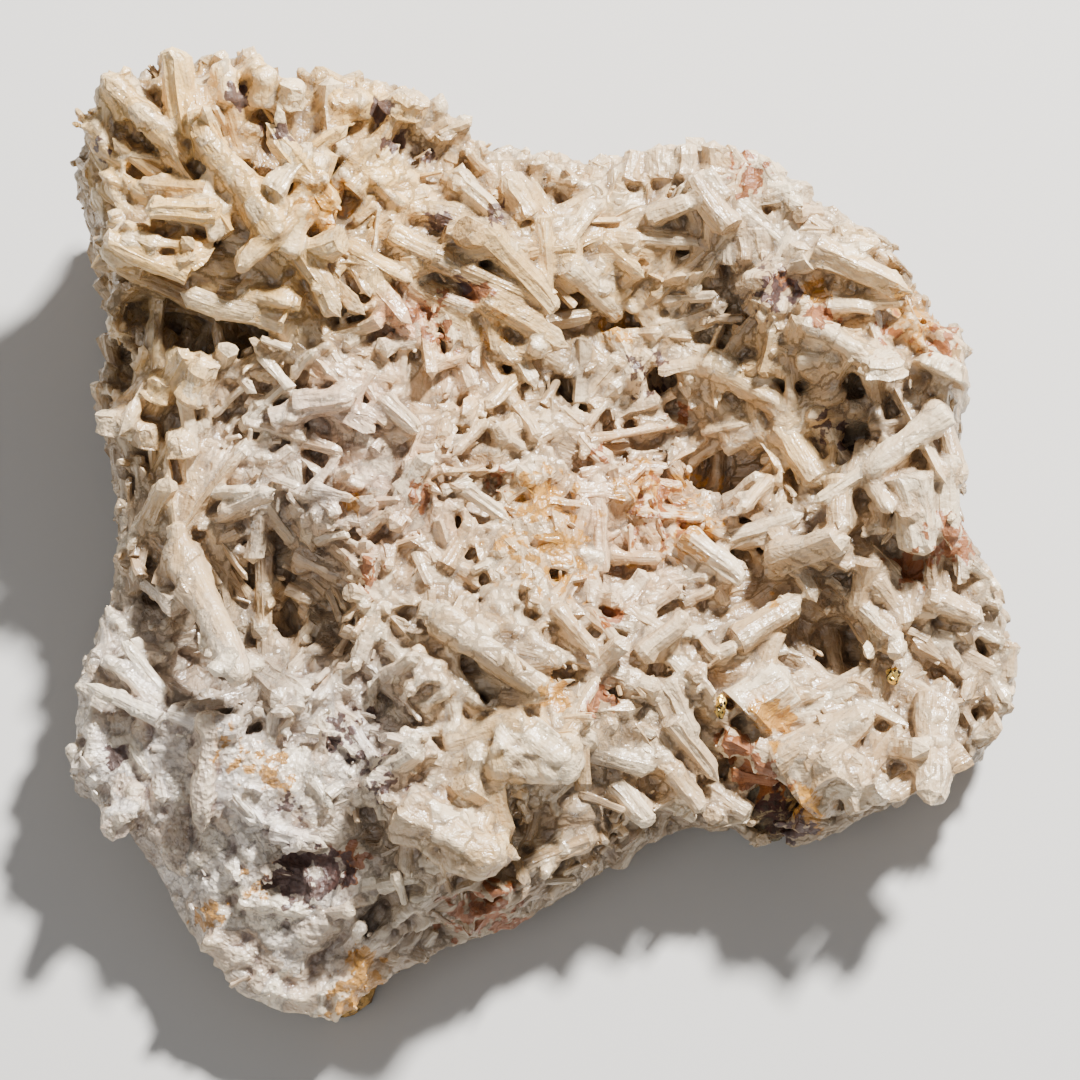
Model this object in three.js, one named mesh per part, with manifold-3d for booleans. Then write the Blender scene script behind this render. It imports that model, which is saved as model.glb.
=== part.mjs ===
// A cerussite specimen: a slab of intergrown prismatic crystals on an iron-stained gossan matrix.
// All sizes are in millimetres, with +Z up. The origin is the middle of the resting face.
import * as THREE from 'three';
import { mergeVertices } from 'three/addons/utils/BufferGeometryUtils.js';
import Module from 'manifold-3d';

const wasm = await Module();
wasm.setup();

// Places are read in a square view of the specimen, in millimetres across and down from its upper left
// corner. The view leans this far off plumb, towards the lower edge, and is true at the middle height.
const VIEW_SIDE = 135;
const VIEW_LEAN = THREE.MathUtils.degToRad(15);
const MIDDLE_HEIGHT = 24;

const MASS_UNDERSIDE = 5;
const MASS_DETAIL = 6;
const TOP_SHARE = 1.5;
const SHOULDER_START = 0.78;
const SHOULDER_REACH = 0.955;
const UNDERCUT_START = 0.6;
const UNDERCUT_REACH = 0.86;
const HEIGHT_BLEND = 3.4;
const MASS_RUGGED = 1.3;
const MATRIX_RUGGED = 0.8;
const MATRIX_BROKEN = 1.2;
const HOLLOW_RUGGED = 0.5;
const LUMP_SQUARENESS = 0.75;
const LARGE_BLOCK = 10;
const MATRIX_THICKNESS = 9;
const MATRIX_INSET = 3.4;
const MATRIX_SIDES = 28;
const LUMP_WAIST = 0.45;
const FIT_GAP = 0.35;
const WALL_CRYSTALS = 12;
const FILL_CRYSTALS = 3;
const FILL_CLEARANCE = 7;
const THIN_CRYSTAL = 4.2;

// The rim of the slab, clockwise from the upper left knob: across, down, and the height of the edge there.
const RIM = [
  [8, 12.5, 34], [10.5, 12.5, 36], [13, 9, 38], [15.5, 8.5, 38], [17.5, 10, 38], [21, 7, 40],
  [24.5, 9.5, 40], [29, 7, 40], [33, 8, 40], [36.5, 9, 40], [38.5, 12.5, 38], [40.5, 13, 38],
  [44.5, 11.5, 38], [47.5, 11, 38], [50, 10, 38], [53.5, 10.5, 37], [53, 14.5, 35], [56.2, 18.3, 33],
  [60, 19, 32], [63.5, 19, 32], [70, 20.5, 30], [75, 21, 29], [78, 19, 30], [82.5, 18, 31],
  [89, 17.5, 31], [92.5, 18.5, 31], [97.5, 22, 30], [101, 24.5, 30], [105, 28.5, 29], [109.5, 29, 29],
  [113, 32.5, 27], [114, 34, 26], [112.5, 37.5, 25], [116.5, 40, 25], [119.5, 43, 25], [121, 46.5, 24],
  [119.5, 51.5, 22], [118, 54, 22], [120, 61.5, 21], [119.5, 67.5, 20], [123, 70.5, 18], [125, 76, 16],
  [127, 82.5, 14], [127, 87, 13], [125.5, 92, 12], [122, 95.5, 12], [119, 100, 12], [115, 100.5, 12],
  [111.5, 99, 12], [110.5, 100.5, 12], [108.5, 103, 12], [105.5, 102, 12], [102.5, 105, 11],
  [97.5, 105.5, 10], [94, 104, 10], [90, 102.5, 11], [82.5, 103, 11], [77.5, 105.5, 11], [74, 107.5, 11],
  [70.5, 111, 11], [64.5, 115, 11], [59.5, 115.5, 12], [55, 114, 12], [53, 116, 12], [50, 119.5, 11],
  [47.5, 121.5, 10], [47, 125, 9], [43, 127.5, 9], [39, 126.5, 9], [33, 126, 9], [29, 124, 9],
  [25.5, 120.5, 9], [24, 115.5, 10], [20.5, 110.5, 11], [18.5, 108, 12], [18, 104.5, 12], [13, 103, 12],
  [10.5, 100, 13], [8, 95.5, 13], [8, 91, 13], [11.5, 83, 14], [13, 78.5, 14], [14.5, 72.5, 15],
  [14, 70.5, 15], [15.5, 67.5, 16], [14.5, 57.5, 17], [11.5, 52, 17], [11.5, 46.5, 17],
  [13.5, 40.5, 19], [12, 34, 22], [11.5, 27, 25], [9, 22.5, 28], [8, 16, 31],
];

// The lie of the crystal mass between its large crystals: across, down, height.
const KNOB_HEIGHTS = [
  [23, 14, 43], [31, 17, 45], [41, 22, 42], [49, 15, 40], [16, 18, 42], [28, 26, 44], [20, 29, 43],
  [12, 27, 34], [32, 35, 41], [19, 35, 41], [38, 33, 40],
];
const NORTH_HEIGHTS = [
  [25, 41, 25], [16, 44, 20], [36, 42, 33], [46, 31, 38], [55, 27, 37], [51, 35, 36], [65, 32, 37],
  [70, 25, 34], [80, 29, 31], [88, 25, 33], [80, 22.5, 30], [95, 27, 34], [103, 32, 34], [110, 34, 31],
];
const EAST_HEIGHTS = [
  [99, 37, 31], [90, 41, 25], [82, 44, 24], [75, 47, 23], [80, 53, 20], [88, 56, 17], [93, 59, 16],
  [106, 44, 33], [113, 44, 34], [118, 44, 30], [93, 48, 27], [100, 54, 26], [107, 54, 22],
  [113, 53, 29], [104, 62, 25], [112, 63, 29], [118, 61, 27], [97, 65, 22], [88, 67, 22],
  [106, 71, 26], [113, 75, 24], [119, 75, 22], [105, 80, 16], [100, 77, 19], [112, 85, 20],
  [120, 82, 18], [120, 90, 15], [124, 80, 15], [125, 87, 12],
];
const SOUTH_EAST_HEIGHTS = [
  [116, 95, 17], [107, 95, 21], [100, 92, 22], [95, 96, 16], [88, 92, 23], [98, 103, 12],
  [105, 100, 17], [90, 100, 15], [81, 99, 18], [75, 102, 16],
];
const CENTRE_HEIGHTS = [
  [60, 42, 31], [52, 43, 32], [68, 42, 28], [71, 52, 25], [62, 52, 30], [55, 55, 31], [70, 62, 27],
  [78, 65, 24], [62, 70, 30], [52, 70, 30], [75, 75, 26], [82, 78, 25], [68, 82, 30], [60, 80, 32],
  [75, 86, 27], [68, 92, 31], [60, 92, 29], [80, 90, 25], [71, 100, 23], [56, 104, 28], [64, 109, 18],
  [69, 107, 16], [50, 98, 26], [47, 105, 25],
];
const WEST_HEIGHTS = [
  [19, 50, 25], [25, 52, 29], [35, 48, 31], [43, 50, 32], [43, 59, 31], [33, 58, 29], [22, 59, 26],
  [16, 60, 20], [24, 70, 26], [19, 73, 16], [30, 77, 18], [26, 83, 15], [37, 78, 17], [22, 80, 17],
  [43, 70, 29], [45, 78, 27], [37, 88, 26], [43, 85, 27], [16, 85, 18], [15, 80, 16],
];
const SOUTH_WEST_HEIGHTS = [
  [13, 92, 18], [21, 93, 23], [29, 90, 26], [31, 96, 23], [16, 100, 17], [21, 104, 18], [26, 100, 22],
  [37, 100, 23], [37, 109, 19], [31, 112, 18], [25, 112, 13], [44, 110, 21], [41, 118, 16],
  [32, 120, 13], [37, 124, 10], [50, 112, 18], [46, 117, 15], [44, 123, 9],
];
const HEIGHTS = [
  ...KNOB_HEIGHTS, ...NORTH_HEIGHTS, ...EAST_HEIGHTS, ...SOUTH_EAST_HEIGHTS, ...CENTRE_HEIGHTS,
  ...WEST_HEIGHTS, ...SOUTH_WEST_HEIGHTS,
];

// The large crystals. Each row is the root and then the tip, as across, down and height over the mass
// at that place, and last the crystal's width.
const KNOB_CRYSTALS = [
  [26.5, 16, 0, 21.5, 7.5, 3, 4.5], [16.5, 14.5, 0, 13.5, 9.5, 2, 3.5], [18, 14, -1, 15.5, 9, 1.5, 3],
  [33, 28.5, 1, 24, 14, 4, 4.5], [41, 26, 0.5, 34.5, 16, 3.5, 3.5],
  [27, 26.5, 0, 18.5, 26, 2.5, 3], [24.5, 32, -2, 23.5, 30.5, 4, 4.5], [38.5, 25.5, 1, 30, 33.5, 3.5, 3.5],
  [50, 14, -2, 51, 11.5, 4, 5], [42.5, 15, -2, 42, 12, 3, 4], [45.5, 14, -2, 45.5, 11.5, 3, 3.5],
  [28.5, 12.5, -1, 28, 8, 3, 4.5], [32.5, 13, -1, 33, 8.5, 3, 4], [36, 13, -1, 36.5, 10, 2.5, 3.5],
  [25, 37.5, 0.5, 13.5, 33, 2.5, 3], [37.5, 31, 0, 42, 39, 2.5, 3],
  [31, 20, 0, 29, 12, 3, 3], [22, 18, 0, 17, 13, 3, 3],
  [44, 24, 0, 49, 18, 3, 3], [37, 20, 0, 43, 16, 3, 2.5], [20, 31, 0, 14.5, 28.5, 3, 3],
  [34, 24, 1, 38, 18, 4, 3], [17, 20, -3, 9.5, 13.5, -2, 5.5],
];
const NORTH_CRYSTALS = [
  [60, 28.5, 1.5, 69.5, 38.5, 2.5, 3.5], [60.5, 37, 1, 70, 43, 2.5, 3.5], [54, 32, 1, 67.5, 37.5, 2, 3],
  [70.5, 33, 1, 77.5, 39.5, 3, 3], [70, 31, 0.5, 75, 25.5, 4, 3], [76.5, 29.5, 1.5, 88, 30.5, 3, 2.5],
  [81.5, 27, 1, 86.5, 25, 2.5, 2.5], [90.5, 25, 1, 88, 21.5, 2.5, 2.5],
  [92.5, 25.5, 1.5, 100, 32, 2.5, 2.5], [102, 31, 1.5, 113, 36, 3, 4],
  [105, 30, 1, 110, 30.5, 2, 2.5], [101, 40.5, 1, 107.5, 44, 3, 3], [79, 23, -1, 79, 19, 1.5, 3],
  [82.5, 22.5, -1, 82.5, 18.5, 1.5, 3], [86, 22, -1, 86, 18, 1.5, 3], [89.5, 21.5, -1, 90, 18, 1.5, 3],
  [57, 22, 0, 62, 27, 2.5, 2.5], [49, 29, 0.5, 57, 33, 2.5, 2.5], [66, 27, 0, 63, 22, 2.5, 3],
];
const EAST_CRYSTALS = [
  [88, 45, 3, 99.5, 51.5, 3, 3.5], [98, 52.5, 2, 102.5, 60.5, 3.5, 4],
  [118.5, 51.5, 1.5, 108, 59, 3.5, 3.5], [109, 58.5, 2.5, 102, 62.5, 2.5, 2], [105, 60, 2, 104.5, 66.5, 3, 3.5],
  [110.5, 46.5, -2, 110.5, 44.5, 4.5, 5.5],
  [117.5, 47, -3, 118.5, 45, 3, 7], [113, 59.5, 0.5, 115.5, 69, 1.5, 5], [118, 57.5, 0, 118.5, 67.5, 1, 3.5],
  [109, 60, 1, 111, 64, 2.5, 2.5], [90, 67.5, 1.5, 100, 64.5, 3, 2.5], [85.5, 67, 1, 93, 72.5, 2.5, 3],
  [97, 70, 0.5, 106, 68, 2, 5], [99.5, 70.5, 1, 101.5, 75, 3, 2.5], [92, 80, 1.5, 100, 75.5, 3, 4.5],
  [104, 79, 3, 105, 85, 3.5, 2.5], [93, 89, -1, 98, 84, 2.5, 7],
  [73.5, 55, 3, 85, 53, 4, 1.5], [117, 75, 0, 122, 78, 2.5, 3],
  [108, 76, 0, 112, 81, 2.5, 3], [96, 60, 2, 92, 64, 4, 2],
];
const SOUTH_EAST_CRYSTALS = [
  [97.5, 95.5, 0.5, 108.5, 89, 2.5, 5], [101, 99, -1, 106, 95, 2.5, 7], [106, 97, 0, 108.5, 101, 2, 4.5],
  [117, 87.5, 2, 116, 100, 4, 5.5], [84, 96, 0, 88, 101, 2, 3], [77, 98, 0, 81, 103, 2, 3],
  [86, 84, 0.5, 91, 90, 2, 3],
];
const CENTRE_CRYSTALS = [
  [75, 71.5, 1, 75, 62, 3.5, 2], [75.5, 62, 3, 72, 62, 3, 1.5], [69.5, 76, 1, 74, 82, 2.5, 2],
  [54.5, 77, 0, 68, 87.5, 1.5, 4], [48, 84.5, 0.5, 52, 82, 2.5, 2], [37.5, 69, 1, 43, 72.5, 2.5, 3],
  [37, 50.5, 0.5, 44, 50, 2, 3], [50, 62, 0, 54, 57, 2.5, 2.5],
  [48, 50, 0, 52, 54, 2.5, 2], [80, 82, 0.5, 86, 77, 2.5, 2.5],
];
const WEST_CRYSTALS = [
  [22, 68.5, 1, 30.5, 85, 6, 4.5], [33, 67.5, 2, 33, 86.5, 5, 2.2], [33, 84, 3, 38, 87, 2, 3],
  [36, 73.5, 3, 39.5, 75, 4, 2], [24, 50, 0, 26, 45, 5.5, 4.5], [19.5, 49.5, -1, 20.5, 47, 4, 4.5],
  [14.5, 54, -1, 14.5, 51.5, 3, 4], [18.5, 55.5, -1, 18.5, 53, 2.5, 4], [23, 56.5, -1, 22.5, 54, 2.5, 4],
  [18, 66, 0, 21, 60, 2.5, 3], [22, 76, 2, 17, 71, 4, 2.5], [28, 64, 0, 34, 62, 2.5, 2.5],
];
const SOUTH_WEST_CRYSTALS = [
  [26, 89, 0, 25, 104, 1.5, 3], [15.5, 102, -2, 15, 100.5, 2.5, 6], [20, 88, 0, 13, 82, 3, 2],
  [20.5, 87, 0, 15.5, 80.5, 3, 2], [20, 90, 0, 11.5, 86, 2, 2], [34, 104, 0, 40, 106, 2, 2.5],
];
const SOUTH_CRYSTALS = [
  [50, 101, 0, 62.5, 108.5, 1.5, 6.5], [62, 93, -1, 72.5, 96, 1, 7], [73.5, 105, 1, 65, 108, 2, 3],
];
const LARGE_CRYSTALS = [
  ...KNOB_CRYSTALS, ...NORTH_CRYSTALS, ...EAST_CRYSTALS, ...SOUTH_EAST_CRYSTALS, ...CENTRE_CRYSTALS,
  ...WEST_CRYSTALS, ...SOUTH_WEST_CRYSTALS, ...SOUTH_CRYSTALS,
];

// Masses that stand out over the slab with steep or overhanging sides: across, down and height of the
// middle, and the three half widths.
const BLOCKS = [
  [26, 23, 34, 14, 13.5, 8], [41, 19, 33, 11, 9, 8], [117, 45, 27, 4.5, 4.5, 6.5],
  [57, 105.5, 22, 7, 5, 6], [104, 97, 16, 6, 5, 6], [113, 90, 15, 4, 8, 6], [68, 93, 25, 6, 6, 6.5],
];

// Hollows between the crystals: across, down, height over the mass, and the three half widths.
const HOLLOWS = [
  [25, 40.5, 2, 11, 4, 6], [15, 45, 1, 3, 5, 5], [26, 29.5, 0, 1.7, 1.7, 5], [36.5, 22, 0, 1.7, 1.7, 5],
  [40.5, 53, 0, 1.7, 1.5, 4], [107, 54, 1, 2.5, 2, 5], [91.5, 58.5, 1, 5, 3.5, 4],
  [81.5, 47.5, 1, 1.6, 4, 5], [72.5, 48, 1, 3, 1.8, 5], [36, 77.5, 1, 2, 3, 5], [25, 83.5, 2, 4, 3, 4],
  [19.5, 73, 1, 1.6, 3, 4], [105.5, 81, 1, 3.5, 3.5, 4], [122, 90, 1, 3, 2.5, 4], [123, 81, 1, 2, 2, 4],
  [108.5, 93, 1, 2, 1.6, 4],
];

// Where the gossan shows between or beside the crystals: across, down, top height, and two half widths.
// Each is widest a little under half way up.
const MATRIX_LUMPS = [
  [42.5, 121, 11, 5, 4.5], [48, 111, 13, 4, 4.5], [61.5, 108.8, 10.5, 7, 4], [96.5, 96.3, 16, 6, 6.5],
];

// The two brassy sulphide grains: across, down, height over the mass, width, length.
const SULPHIDE_GRAINS = {
  sulphide_grain_upright: [90, 88.2, 1.2, 1.5, 3.2],
  sulphide_grain_right: [111.6, 84.4, 1.2, 1.8, 2.4],
};

function seededRandom(seed) {
  let state = seed;
  return () => {
    state = (state * 1664525 + 1013904223) % 4294967296;
    return state / 4294967296;
  };
}

// The plan position of a point that is seen across and down the view and stands at a height.
function planPoint(across, down, height) {
  const up = VIEW_SIDE / 2 - down;
  const lift = (height - MIDDLE_HEIGHT) * Math.sin(VIEW_LEAN);
  return new THREE.Vector2(across - VIEW_SIDE / 2, (up - lift) / Math.cos(VIEW_LEAN));
}

const heightPoints = HEIGHTS.map(([across, down, height]) => ({ at: planPoint(across, down, height), height }));

// The height of the mass at a plan position, blended from the readings around it.
function massHeight(x, y) {
  let total = 0;
  let weights = 0;
  for (const { at, height } of heightPoints) {
    const squared = (x - at.x) ** 2 + (y - at.y) ** 2;
    const weight = Math.exp(-squared / (2 * HEIGHT_BLEND ** 2)) + 1e-6 / (1 + squared);
    total += weight * height;
    weights += weight;
  }
  return total / weights;
}

// A point over the mass that is seen at this place in the view.
function surfacePoint(across, down, over) {
  let height = MIDDLE_HEIGHT;
  let at = planPoint(across, down, height);
  for (let step = 0; step < 4; step += 1) {
    height = massHeight(at.x, at.y) + over;
    at = planPoint(across, down, height);
  }
  return new THREE.Vector3(at.x, at.y, height);
}

const heart = planPoint(VIEW_SIDE / 2, 65, MIDDLE_HEIGHT);
const rimPoints = RIM.map(([across, down, height]) => {
  const at = planPoint(across, down, height).sub(heart);
  return { angle: at.angle(), reach: at.length(), height };
}).sort((a, b) => a.angle - b.angle);

// How far the rim lies from the heart of the slab in a direction, and how high it is there.
function rimAt(angle) {
  const turn = 2 * Math.PI;
  const wanted = ((angle % turn) + turn) % turn;
  const next = rimPoints.findIndex((point) => point.angle > wanted);
  const after = next < 0 ? rimPoints[0] : rimPoints[next];
  const before = next <= 0 ? rimPoints[rimPoints.length - 1] : rimPoints[next - 1];
  const span = (((after.angle - before.angle) % turn) + turn) % turn;
  const share = ((((wanted - before.angle) % turn) + turn) % turn) / span;
  return {
    reach: THREE.MathUtils.lerp(before.reach, after.reach, share),
    height: THREE.MathUtils.lerp(before.height, after.height, share),
  };
}

function bare(geometry) {
  geometry.deleteAttribute('normal');
  geometry.deleteAttribute('uv');
  return mergeVertices(geometry, 1e-5);
}

function solidOf(geometry) {
  return new wasm.Manifold(new wasm.Mesh({
    numProp: 3,
    vertProperties: new Float32Array(geometry.attributes.position.array),
    triVerts: new Uint32Array(geometry.index.array),
  }));
}

function geometryOf(solid) {
  const mesh = solid.getMesh();
  const geometry = new THREE.BufferGeometry();
  geometry.setAttribute('position', new THREE.BufferAttribute(mesh.vertProperties, 3));
  geometry.setIndex(new THREE.BufferAttribute(mesh.triVerts, 1));
  return geometry;
}

// Moves each corner of a geometry by up to this much, each way, so that its faces turn like broken crystal.
function roughen(geometry, amount, seed) {
  const random = seededRandom(seed);
  const places = geometry.attributes.position;
  for (let index = 0; index < places.count; index += 1) {
    places.setXYZ(
      index,
      places.getX(index) + (2 * random() - 1) * amount,
      places.getY(index) + (2 * random() - 1) * amount,
      places.getZ(index) + (2 * random() - 1) * amount,
    );
  }
  return geometry;
}

// The crystal mass: a ball spread over the slab's plan, with a rounded shoulder and an undercut rim.
function crystalMass() {
  const ball = bare(new THREE.IcosahedronGeometry(1, MASS_DETAIL));
  const places = ball.attributes.position;
  const point = new THREE.Vector3();
  for (let index = 0; index < places.count; index += 1) {
    point.fromBufferAttribute(places, index).normalize();
    const angle = Math.atan2(point.y, point.x);
    const rim = rimAt(angle);
    const fall = 1 - point.z;
    const along = new THREE.Vector2(Math.cos(angle), Math.sin(angle));
    let share;
    let height;
    if (fall < TOP_SHARE) {
      const spread = Math.sqrt(fall / TOP_SHARE);
      const over = Math.max(0, (spread - SHOULDER_START) / (1 - SHOULDER_START));
      const bend = over * Math.PI / 2;
      share = over > 0 ? THREE.MathUtils.lerp(SHOULDER_REACH, 1, Math.sin(bend))
        : spread / SHOULDER_START * SHOULDER_REACH;
      const inner = along.clone().multiplyScalar(rim.reach * Math.min(share, SHOULDER_REACH)).add(heart);
      height = THREE.MathUtils.lerp(rim.height, massHeight(inner.x, inner.y), Math.cos(bend));
    } else {
      const spread = Math.sqrt((2 - fall) / (2 - TOP_SHARE));
      const under = Math.min(1, (1 - spread) / (1 - UNDERCUT_START));
      const bend = under * Math.PI / 2;
      share = under < 1 ? THREE.MathUtils.lerp(UNDERCUT_REACH, 1, Math.cos(bend))
        : spread / UNDERCUT_START * UNDERCUT_REACH;
      height = THREE.MathUtils.lerp(rim.height, MASS_UNDERSIDE, Math.sin(bend));
    }
    const at = along.multiplyScalar(rim.reach * share).add(heart);
    places.setXYZ(index, at.x, at.y, height);
  }
  return solidOf(roughen(ball, MASS_RUGGED, 5));
}

// A lump with squared shoulders and a broken surface.
function lump(centre, half, detail, rugged, seed) {
  const ball = bare(new THREE.IcosahedronGeometry(1, detail));
  const places = ball.attributes.position;
  for (let index = 0; index < places.count; index += 1) {
    const squared = [places.getX(index), places.getY(index), places.getZ(index)]
      .map((value) => Math.sign(value) * Math.abs(value) ** LUMP_SQUARENESS);
    places.setXYZ(index, squared[0] * half.x, squared[1] * half.y, squared[2] * half.z);
  }
  ball.translate(centre.x, centre.y, centre.z);
  return solidOf(roughen(ball, rugged, seed));
}

function blocks() {
  return BLOCKS.map(([across, down, height, halfX, halfY, halfZ], index) => {
    const at = planPoint(across, down, height);
    const half = new THREE.Vector3(halfX, halfY, halfZ);
    const detail = halfX > LARGE_BLOCK ? 3 : 1;
    return lump(new THREE.Vector3(at.x, at.y, height), half, detail, MASS_RUGGED * 0.8, 40 + index);
  });
}

// One prismatic crystal from its root to its tip, a little flattened, with a blunt pyramid on its end.
function crystal(root, tip, width, spin) {
  const length = root.distanceTo(tip);
  const radius = width / 2;
  const profile = [
    new THREE.Vector2(0, -radius),
    new THREE.Vector2(radius, 0),
    new THREE.Vector2(radius * 0.9, Math.max(length - radius * 0.7, length * 0.6)),
    new THREE.Vector2(0, length),
  ];
  const sides = width < THIN_CRYSTAL ? 4 : 6;
  const prism = bare(new THREE.LatheGeometry(profile, sides));
  prism.scale(1, 1, 0.82);
  prism.rotateY(spin);
  const lean = new THREE.Quaternion().setFromUnitVectors(
    new THREE.Vector3(0, 1, 0),
    tip.clone().sub(root).normalize(),
  );
  prism.applyQuaternion(lean);
  prism.translate(root.x, root.y, root.z);
  return solidOf(bare(prism));
}

function largeCrystals() {
  const random = seededRandom(11);
  return LARGE_CRYSTALS.map(([rootAcross, rootDown, rootOver, tipAcross, tipDown, tipOver, width]) => crystal(
    surfacePoint(rootAcross, rootDown, rootOver),
    surfacePoint(tipAcross, tipDown, tipOver),
    width,
    random() * Math.PI,
  ));
}

// Crystals that stick out of the side walls all the way round.
function wallCrystals() {
  const random = seededRandom(29);
  return Array.from({ length: WALL_CRYSTALS }, (unused, index) => {
    const angle = (index + random() * 0.6) * 2 * Math.PI / WALL_CRYSTALS;
    const rim = rimAt(angle);
    const level = THREE.MathUtils.lerp(MATRIX_THICKNESS + 2, rim.height, random());
    const root = new THREE.Vector3(
      heart.x + Math.cos(angle) * rim.reach * 0.95,
      heart.y + Math.sin(angle) * rim.reach * 0.95,
      level,
    );
    const heading = angle + (random() - 0.5) * 1.8;
    const length = 4 + random() * 3;
    const tip = new THREE.Vector3(
      Math.cos(heading) * length * 0.7,
      Math.sin(heading) * length * 0.7,
      length * (random() * 1.2 - 0.2),
    ).add(root);
    return crystal(root, tip, 2.4 + random() * 2, random() * Math.PI);
  });
}

// Crystals of middling size over the ground that the large ones leave bare, lying low in every direction.
function fillCrystals() {
  const random = seededRandom(83);
  const taken = LARGE_CRYSTALS.map(([rootAcross, rootDown, , tipAcross, tipDown]) => (
    planPoint((rootAcross + tipAcross) / 2, (rootDown + tipDown) / 2, MIDDLE_HEIGHT)
  ));
  const crystals = [];
  for (let attempt = 0; attempt < 4000 && crystals.length < FILL_CRYSTALS; attempt += 1) {
    const angle = random() * 2 * Math.PI;
    const reach = rimAt(angle).reach * Math.sqrt(random()) * 0.9;
    const place = new THREE.Vector2(Math.cos(angle) * reach, Math.sin(angle) * reach).add(heart);
    if (taken.some((other) => other.distanceTo(place) < FILL_CLEARANCE)) continue;
    taken.push(place);
    const heading = random() * 2 * Math.PI;
    const half = 3 + random() * 2.5;
    const ends = [-half, half].map((along, end) => {
      const x = place.x + Math.cos(heading) * along;
      const y = place.y + Math.sin(heading) * along;
      return new THREE.Vector3(x, y, massHeight(x, y) + (end === 0 ? 0 : 1.5 + random() * 1.5));
    });
    crystals.push(crystal(ends[0], ends[1], 2.6 + random() * 1.6, random() * Math.PI));
  }
  return crystals;
}

function hollows() {
  return HOLLOWS.map(([across, down, over, halfX, halfY, halfZ], index) => lump(
    surfacePoint(across, down, over),
    new THREE.Vector3(halfX, halfY, halfZ),
    1,
    HOLLOW_RUGGED,
    70 + index,
  ));
}

// The gossan: a flat-cut slab inside the rim, and the lumps that come up through the crystals.
// The same form, grown by a gap, is what the crystals are cut back by.
function matrix(gap) {
  const profile = [
    new THREE.Vector2(0, 0),
    new THREE.Vector2(0.93, 0),
    new THREE.Vector2(0.985, 0.25),
    new THREE.Vector2(1, 0.6),
    new THREE.Vector2(0.96, 1),
    new THREE.Vector2(0, 1),
  ];
  const slab = bare(new THREE.LatheGeometry(profile, MATRIX_SIDES));
  slab.rotateX(Math.PI / 2);
  const random = seededRandom(17);
  const places = slab.attributes.position;
  for (let index = 0; index < places.count; index += 1) {
    const x = places.getX(index);
    const y = places.getY(index);
    const angle = Math.atan2(y, x);
    const broken = (2 * random() - 1) * MATRIX_BROKEN;
    const reach = rimAt(angle).reach - MATRIX_INSET + broken + gap;
    const height = places.getZ(index) * (MATRIX_THICKNESS + gap);
    places.setXYZ(index, heart.x + x * reach, heart.y + y * reach, height);
  }
  const lumps = MATRIX_LUMPS.map(([across, down, top, halfX, halfY]) => {
    const at = planPoint(across, down, top);
    const half = new THREE.Vector3(halfX + gap, halfY + gap, top * (1 - LUMP_WAIST) + gap);
    return lump(new THREE.Vector3(at.x, at.y, top * LUMP_WAIST), half, 1, MATRIX_RUGGED, 90);
  });
  const joined = lumps.reduce((whole, lump) => whole.add(lump), solidOf(slab));
  const below = new THREE.BoxGeometry(2 * VIEW_SIDE, 2 * VIEW_SIDE, VIEW_SIDE);
  below.translate(0, 0, -VIEW_SIDE / 2 - (gap > 0 ? 1 : 0));
  return joined.subtract(solidOf(bare(below)));
}

// A sulphide grain: a blunt, slightly twisted octahedral crystal.
function sulphideGrain([across, down, over, width, length], gap) {
  const centre = surfacePoint(across, down, over);
  const grain = bare(new THREE.OctahedronGeometry(1, 1));
  grain.rotateZ(0.4);
  grain.scale(width / 2 + gap, length / 2 + gap, width * 0.6 + gap);
  grain.translate(centre.x, centre.y, centre.z);
  return solidOf(grain);
}

function cerussiteCrystals() {
  let solid = wasm.Manifold.union([
    crystalMass(),
    ...blocks(),
    ...largeCrystals(),
    ...wallCrystals(),
    ...fillCrystals(),
  ]);
  for (const hollow of hollows()) solid = solid.subtract(hollow);
  for (const grain of Object.values(SULPHIDE_GRAINS)) solid = solid.subtract(sulphideGrain(grain, FIT_GAP));
  return solid.subtract(matrix(FIT_GAP));
}

// The largest of the separate bodies in a solid: chips that a cut leaves loose are dropped.
function mainBody(solid) {
  const bodies = solid.decompose();
  return bodies.reduce((largest, body) => (body.volume() > largest.volume() ? body : largest));
}

const cerussite = new THREE.MeshStandardMaterial({ color: 0xd3c5b2, roughness: 0.5, metalness: 0 });
const gossan = new THREE.MeshStandardMaterial({ color: 0x8f6238, roughness: 0.9, metalness: 0 });
const sulphide = new THREE.MeshStandardMaterial({ color: 0x9a8450, roughness: 0.35, metalness: 1 });

function piece(name, solid, material) {
  const mesh = new THREE.Mesh(geometryOf(solid), material);
  mesh.name = name;
  return mesh;
}

const specimen = new THREE.Group();
specimen.add(piece('cerussite_crystals', mainBody(cerussiteCrystals()), cerussite));
specimen.add(piece('gossan_matrix', matrix(0), gossan));
for (const [name, grain] of Object.entries(SULPHIDE_GRAINS)) {
  specimen.add(piece(name, sulphideGrain(grain, 0), sulphide));
}

// The whole is moved so that the middle of its resting face is the origin.
const bounds = new THREE.Box3().setFromObject(specimen);
const middle = bounds.getCenter(new THREE.Vector3());
specimen.position.set(-middle.x, -middle.y, -bounds.min.z);
specimen.updateMatrixWorld(true);

export default specimen;
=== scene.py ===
import math
import random

import bmesh
import bpy
import numpy as np
from mathutils import Matrix, Vector
from mathutils.bvhtree import BVHTree
from mathutils.kdtree import KDTree


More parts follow.
